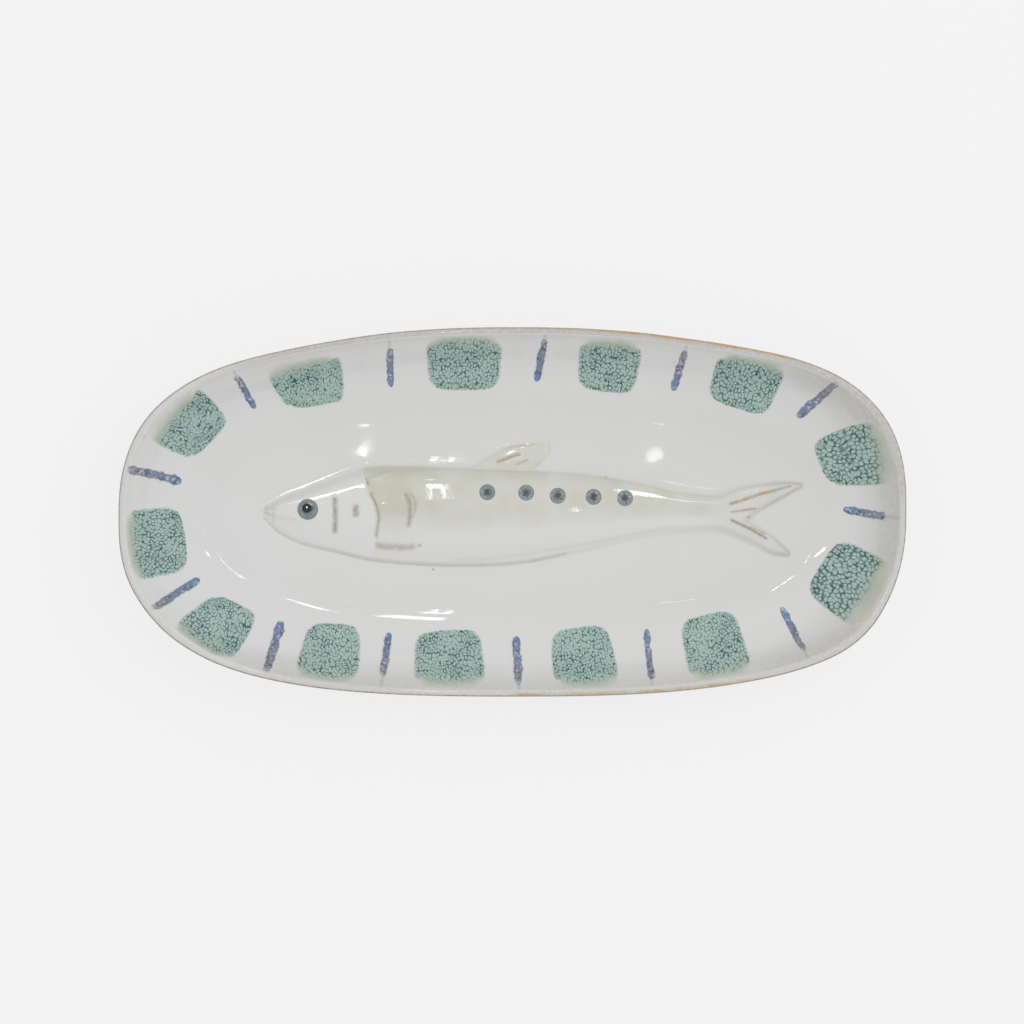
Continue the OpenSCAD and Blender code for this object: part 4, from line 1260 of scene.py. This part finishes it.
def blue_glaze():
    def paint(tree):
        place = own_place(tree)
        ground, rough, height, _ = worn_and_shaded_glaze(tree, 0.0)
        card = vector_mask(tree, "card")
        across_card, along, _ = axes_of(tree, card)
        seed, stop = mask(tree, "shade"), mask(tree, "fade")
        wobble = calc(tree, "SUBTRACT", noise(tree, place, 480.0, 3.0), 0.5)
        track = calc(tree, "MULTIPLY_ADD", seed, 31.0, calc(tree, "MULTIPLY", along, 1.9))
        hand = noise(tree, xyz(tree, track, seed), 1.0, 1.0)
        bulb = stretch(tree, along, -0.8, -0.5, 1.0, 0.0)
        breadth = calc(tree, "MULTIPLY_ADD", bulb, 0.16, calc(tree, "MULTIPLY_ADD", hand, 0.5, 0.46))
        past = calc(tree, "MULTIPLY", calc(tree, "ADD", along, 0.76), -4.6, clamp=True)
        round_off = calc(tree, "SQRT", calc(tree, "SUBTRACT", 1.0, calc(tree, "MULTIPLY", past, past)))
        breadth = calc(tree, "MULTIPLY", breadth, round_off)
        drift = calc(tree, "MULTIPLY", calc(tree, "SUBTRACT", hand, 0.5), 0.5)
        away = calc(tree, "ABSOLUTE", calc(tree, "ADD", across_card, drift))
        inside_by = calc(tree, "SUBTRACT", breadth, calc(tree, "MULTIPLY_ADD", wobble, 0.7, away))
        sides = stretch(tree, inside_by, -0.14, 0.2)
        top = calc(tree, "SUBTRACT", stop, calc(tree, "MULTIPLY_ADD", wobble, 0.4, along))
        body = calc(tree, "MULTIPLY", sides, stretch(tree, top, -0.06, 0.12))
        smear = stretch(tree, away, 0.12, 0.5, 0.34, 0.0)
        tail = calc(tree, "MULTIPLY", smear, stretch(tree, along, 0.9, 1.0, 1.0, 0.0))
        cover = calc(tree, "MAXIMUM", body, tail)
        stroke = blend(tree, stretch(tree, along, -0.5, 0.8), tint("blue"), tint("violet"))
        stroke = blend(tree, stretch(tree, along, -0.9, -0.35, 0.8, 0.0), stroke, tint("cobalt"))
        rusty = stretch(tree, noise(tree, place, 260.0, 2.0), 0.48, 0.66, 0.0, 0.55)
        stroke = blend(tree, rusty, stroke, tint("rust"))
        dark = stretch(tree, noise(tree, place, 430.0, 3.0), 0.47, 0.64, 0.0, 0.8)
        rim = stretch(tree, inside_by, 0.05, 0.4, 0.4, 0.0)
        deep = blend(tree, calc(tree, "ADD", dark, rim, clamp=True), stroke, tint("midnight"))
        curds = stretch(tree, noise(tree, place, 560.0, 2.0), 0.53, 0.67, 0.0, 0.8)
        flecks = calc(tree, "MULTIPLY", curds, stretch(tree, inside_by, 0.1, 0.35))
        flecked = blend(tree, flecks, deep, tint("curd"))
        thinned = blend(tree, body, tint("trail"), flecked)
        colour_out = blend(tree, cover, ground, thinned)
        return colour_out, rough, calc(tree, "ADD", height, curds), 0.00002

    return glaze("Mottled blue glaze", paint)


def slate_glaze():
    def paint(tree):
        place = own_place(tree)
        ground = use(tree, fired_glaze_group(), Colour=tint("white"), Freckles=0.0)
        card = vector_mask(tree, "card")
        axes = axes_of(tree, card)
        rim = larger_side(tree, axes)
        fleck = noise(tree, place, 1100.0, 2.0)
        dark = mask(tree, "shade")
        pale = blend(tree, dark, tint("pale_spot"), tint("dark_spot"))
        grey = blend(tree, stretch(tree, fleck, 0.35, 0.7), tint("slate"), pale)
        ragged = calc(tree, "MULTIPLY_ADD", calc(tree, "SUBTRACT", fleck, 0.5), 0.9, rim)
        cored = blend(tree, stretch(tree, ragged, 0.12, 0.78, 0.85, 0.0), grey, tint("pupil"))
        ringed = blend(tree, stretch(tree, rim, 0.72, 0.92, 0.0, 0.4), cored, tint("spot_rim"))
        colour_out = blend(tree, stretch(tree, rim, 0.93, 1.0), ringed, ground["Colour"])
        return colour_out, ground["Roughness"], fleck, 0.00003

    return glaze("Slate glaze", paint)


def pupil_glaze():
    def paint(tree):
        place = own_place(tree)
        drift = noise(tree, place, 900.0)
        base = blend(tree, stretch(tree, drift, 0.4, 0.7), tint("pupil"), tint("sheen"))
        card = vector_mask(tree, "card")
        # Painted highlight: a pale spot a little off the pupil's middle
        away = add(tree, "ShaderNodeVectorMath", {0: card, 1: (0.0, 0.15, 0)}, operation="DISTANCE").outputs["Value"]
        painted_glint = stretch(tree, away, 0.16, 0.28, 1.0, 0.0)
        base = blend(tree, painted_glint, base, tint("glint"))
        return base, stretch(tree, drift, 0.3, 0.7, 0.04, 0.09), drift, 0.00002

    return glaze("Pupil glaze", paint, 1.3)


def bare_clay():
    def paint(tree):
        place = own_place(tree)
        grog = noise(tree, place, 700.0, 4.0, 0.65)
        broad = noise(tree, place, 45.0)
        base = blend(tree, stretch(tree, broad, 0.3, 0.7), tint("clay"), tint("pale_clay"))
        flecked = blend(tree, stretch(tree, grog, 0.56, 0.7, 0.0, 0.5), base, tint("grog"))
        return flecked, stretch(tree, grog, 0.3, 0.7, 0.65, 0.85), grog, 0.00015

    return glaze("Bare clay", paint)


def lamp(name, tilt, turn, reach, width, height, light, roll=0, mirrored=True):
    """An area lamp aimed at the dish, by its tilt off the vertical and its turn from +X, in degrees, then rolled."""
    data = bpy.data.lights.new(name, "AREA")
    data.shape, data.size, data.size_y, data.energy = "RECTANGLE", width, height, light * math.pi * width * height
    made = bpy.data.objects.new(name, data)
    aim = Euler((0, math.radians(tilt), math.radians(turn))).to_matrix() @ Matrix.Rotation(math.radians(roll), 3, "Z")
    made.rotation_euler = aim.to_euler()
    made.location = aim @ Vector((0, 0, reach))
    made.visible_glossy = mirrored
    bpy.context.scene.collection.objects.link(made)
    return made


class PLATTER_OT_stage(bpy.types.Operator):
    """Set the pale floor, the soft light and the camera straight above"""

    bl_idname = "platter.stage"
    bl_label = "Stage"

    def execute(self, context):
        scene, stage = context.scene, context.scene.platter_stage
        scene.view_settings.view_transform = "Standard"
        camera = bpy.data.objects.new("camera", bpy.data.cameras.new("camera"))
        camera.location = (0, 0, DISH_HIGH.z + stage.camera_height)
        camera.data.sensor_width = 36
        camera.data.lens = 36 * stage.camera_height / stage.frame_width
        camera.data.clip_start, camera.data.clip_end = 0.01, 20
        scene.collection.objects.link(camera)
        scene.camera = camera

        world = bpy.data.worlds.new("studio")
        world.use_nodes = True
        sky = world.node_tree
        seen = add(sky, "ShaderNodeLightPath").outputs["Is Camera Ray"]
        strength = calc(sky, "MULTIPLY_ADD", seen, stage.floor_tone - stage.sky, stage.sky)
        sky.links.new(strength, sky.nodes["Background"].inputs["Strength"])
        sky.nodes["Background"].inputs["Color"].default_value = (1, 1, 1, 1)
        scene.world = world

        sheet = bpy.data.meshes.new("floor")
        sheet.from_pydata([(-4, -4, 0), (4, -4, 0), (4, 4, 0), (-4, 4, 0)], [], [(0, 1, 2, 3)])
        floor = bpy.data.objects.new("floor", sheet)
        scene.collection.objects.link(floor)
        paper = bpy.data.materials.new("Pale floor")
        paper.use_nodes = True
        tree = paper.node_tree
        tree.nodes.remove(tree.nodes["Principled BSDF"])
        matte = add(tree, "ShaderNodeBsdfDiffuse", {"Color": (0.86, 0.86, 0.86, 1)})
        glow = add(tree, "ShaderNodeEmission", {"Color": (*[stage.floor_tone] * 3, 1), "Strength": 1.0})
        path = add(tree, "ShaderNodeLightPath").outputs
        seen = calc(tree, "MAXIMUM", path["Is Camera Ray"], path["Is Glossy Ray"])
        share = calc(tree, "MULTIPLY", seen, 0.85)
        mixed = add(tree, "ShaderNodeMixShader", {0: share, 1: matte.outputs[0], 2: glow.outputs[0]})
        tree.links.new(mixed.outputs[0], tree.nodes["Material Output"].inputs[0])
        sheet.materials.append(paper)

        lamp("soft key", 35, 32, 1.9, 1.0, 0.8, stage.key, mirrored=False)
        lamp("left strip", 16.8, 143.2, 1.6, 0.28, 0.06, stage.strip, -143.2)
        lamp("right strip", 13.0, 49.3, 1.6, 0.08, 0.05, stage.strip, -49.3)
        lamp("left bulb", 5.2, 157, 1.6, 0.009, 0.01, stage.strip)
        lamp("right bulb", 4.9, 21.5, 1.6, 0.01, 0.009, stage.strip)
        lamp("window left", 7.2, 108, 1.6, 0.005, 0.18, stage.strip, -108)
        lamp("window right", 6.7, 105, 1.6, 0.006, 0.12, stage.strip, -105)
        lamp("window top", 9.6, 102, 1.6, 0.02, 0.05, stage.strip, -102)
        lamp("far window", 18.7, 96.3, 1.6, 0.019, 0.14, stage.strip, -96.3)
        return {"FINISHED"}


class PLATTER_PT_panel(bpy.types.Panel):
    bl_idname = "PLATTER_PT_panel"
    bl_label = "Fish Relief Platter"
    bl_space_type = "VIEW_3D"
    bl_region_type = "UI"
    bl_category = "Platter"

    def draw(self, context):
        for label, group in GROUPS.items():
            box = self.layout.box()
            box.label(text=label)
            settings = getattr(context.scene, KEYS[group])
            for key in group.__annotations__:
                box.prop(settings, key)
        for operator in OPERATORS:
            self.layout.operator(operator.bl_idname)


GROUPS = {"Dish": DishSizes, "Fish": FishSizes, "Marks": MarkSizes, "Glazes": GlazeColours, "Stage": StageSettings}
KEYS = {
    DishSizes: "platter_dish", FishSizes: "platter_fish", MarkSizes: "platter_marks", GlazeColours: "platter_glazes",
    StageSettings: "platter_stage",
}
OPERATORS = [
    PLATTER_OT_stage, PLATTER_OT_dish_body, PLATTER_OT_foot_ring, PLATTER_OT_fish_body, PLATTER_OT_fins,
    PLATTER_OT_eye_and_spots, PLATTER_OT_green_patches, PLATTER_OT_blue_dashes,
]
CLASSES = [*KEYS, *OPERATORS, PLATTER_PT_panel]


def register():
    for item in CLASSES:
        bpy.utils.register_class(item)
    for group, key in KEYS.items():
        setattr(bpy.types.Scene, key, PointerProperty(type=group))


def unregister():
    for key in KEYS.values():
        delattr(bpy.types.Scene, key)
    for item in reversed(CLASSES):
        bpy.utils.unregister_class(item)


def main():
    register()
    for operator in OPERATORS:
        family, name = operator.bl_idname.split(".")
        getattr(getattr(bpy.ops, family), name)()


if __name__ == "__main__":
    main()
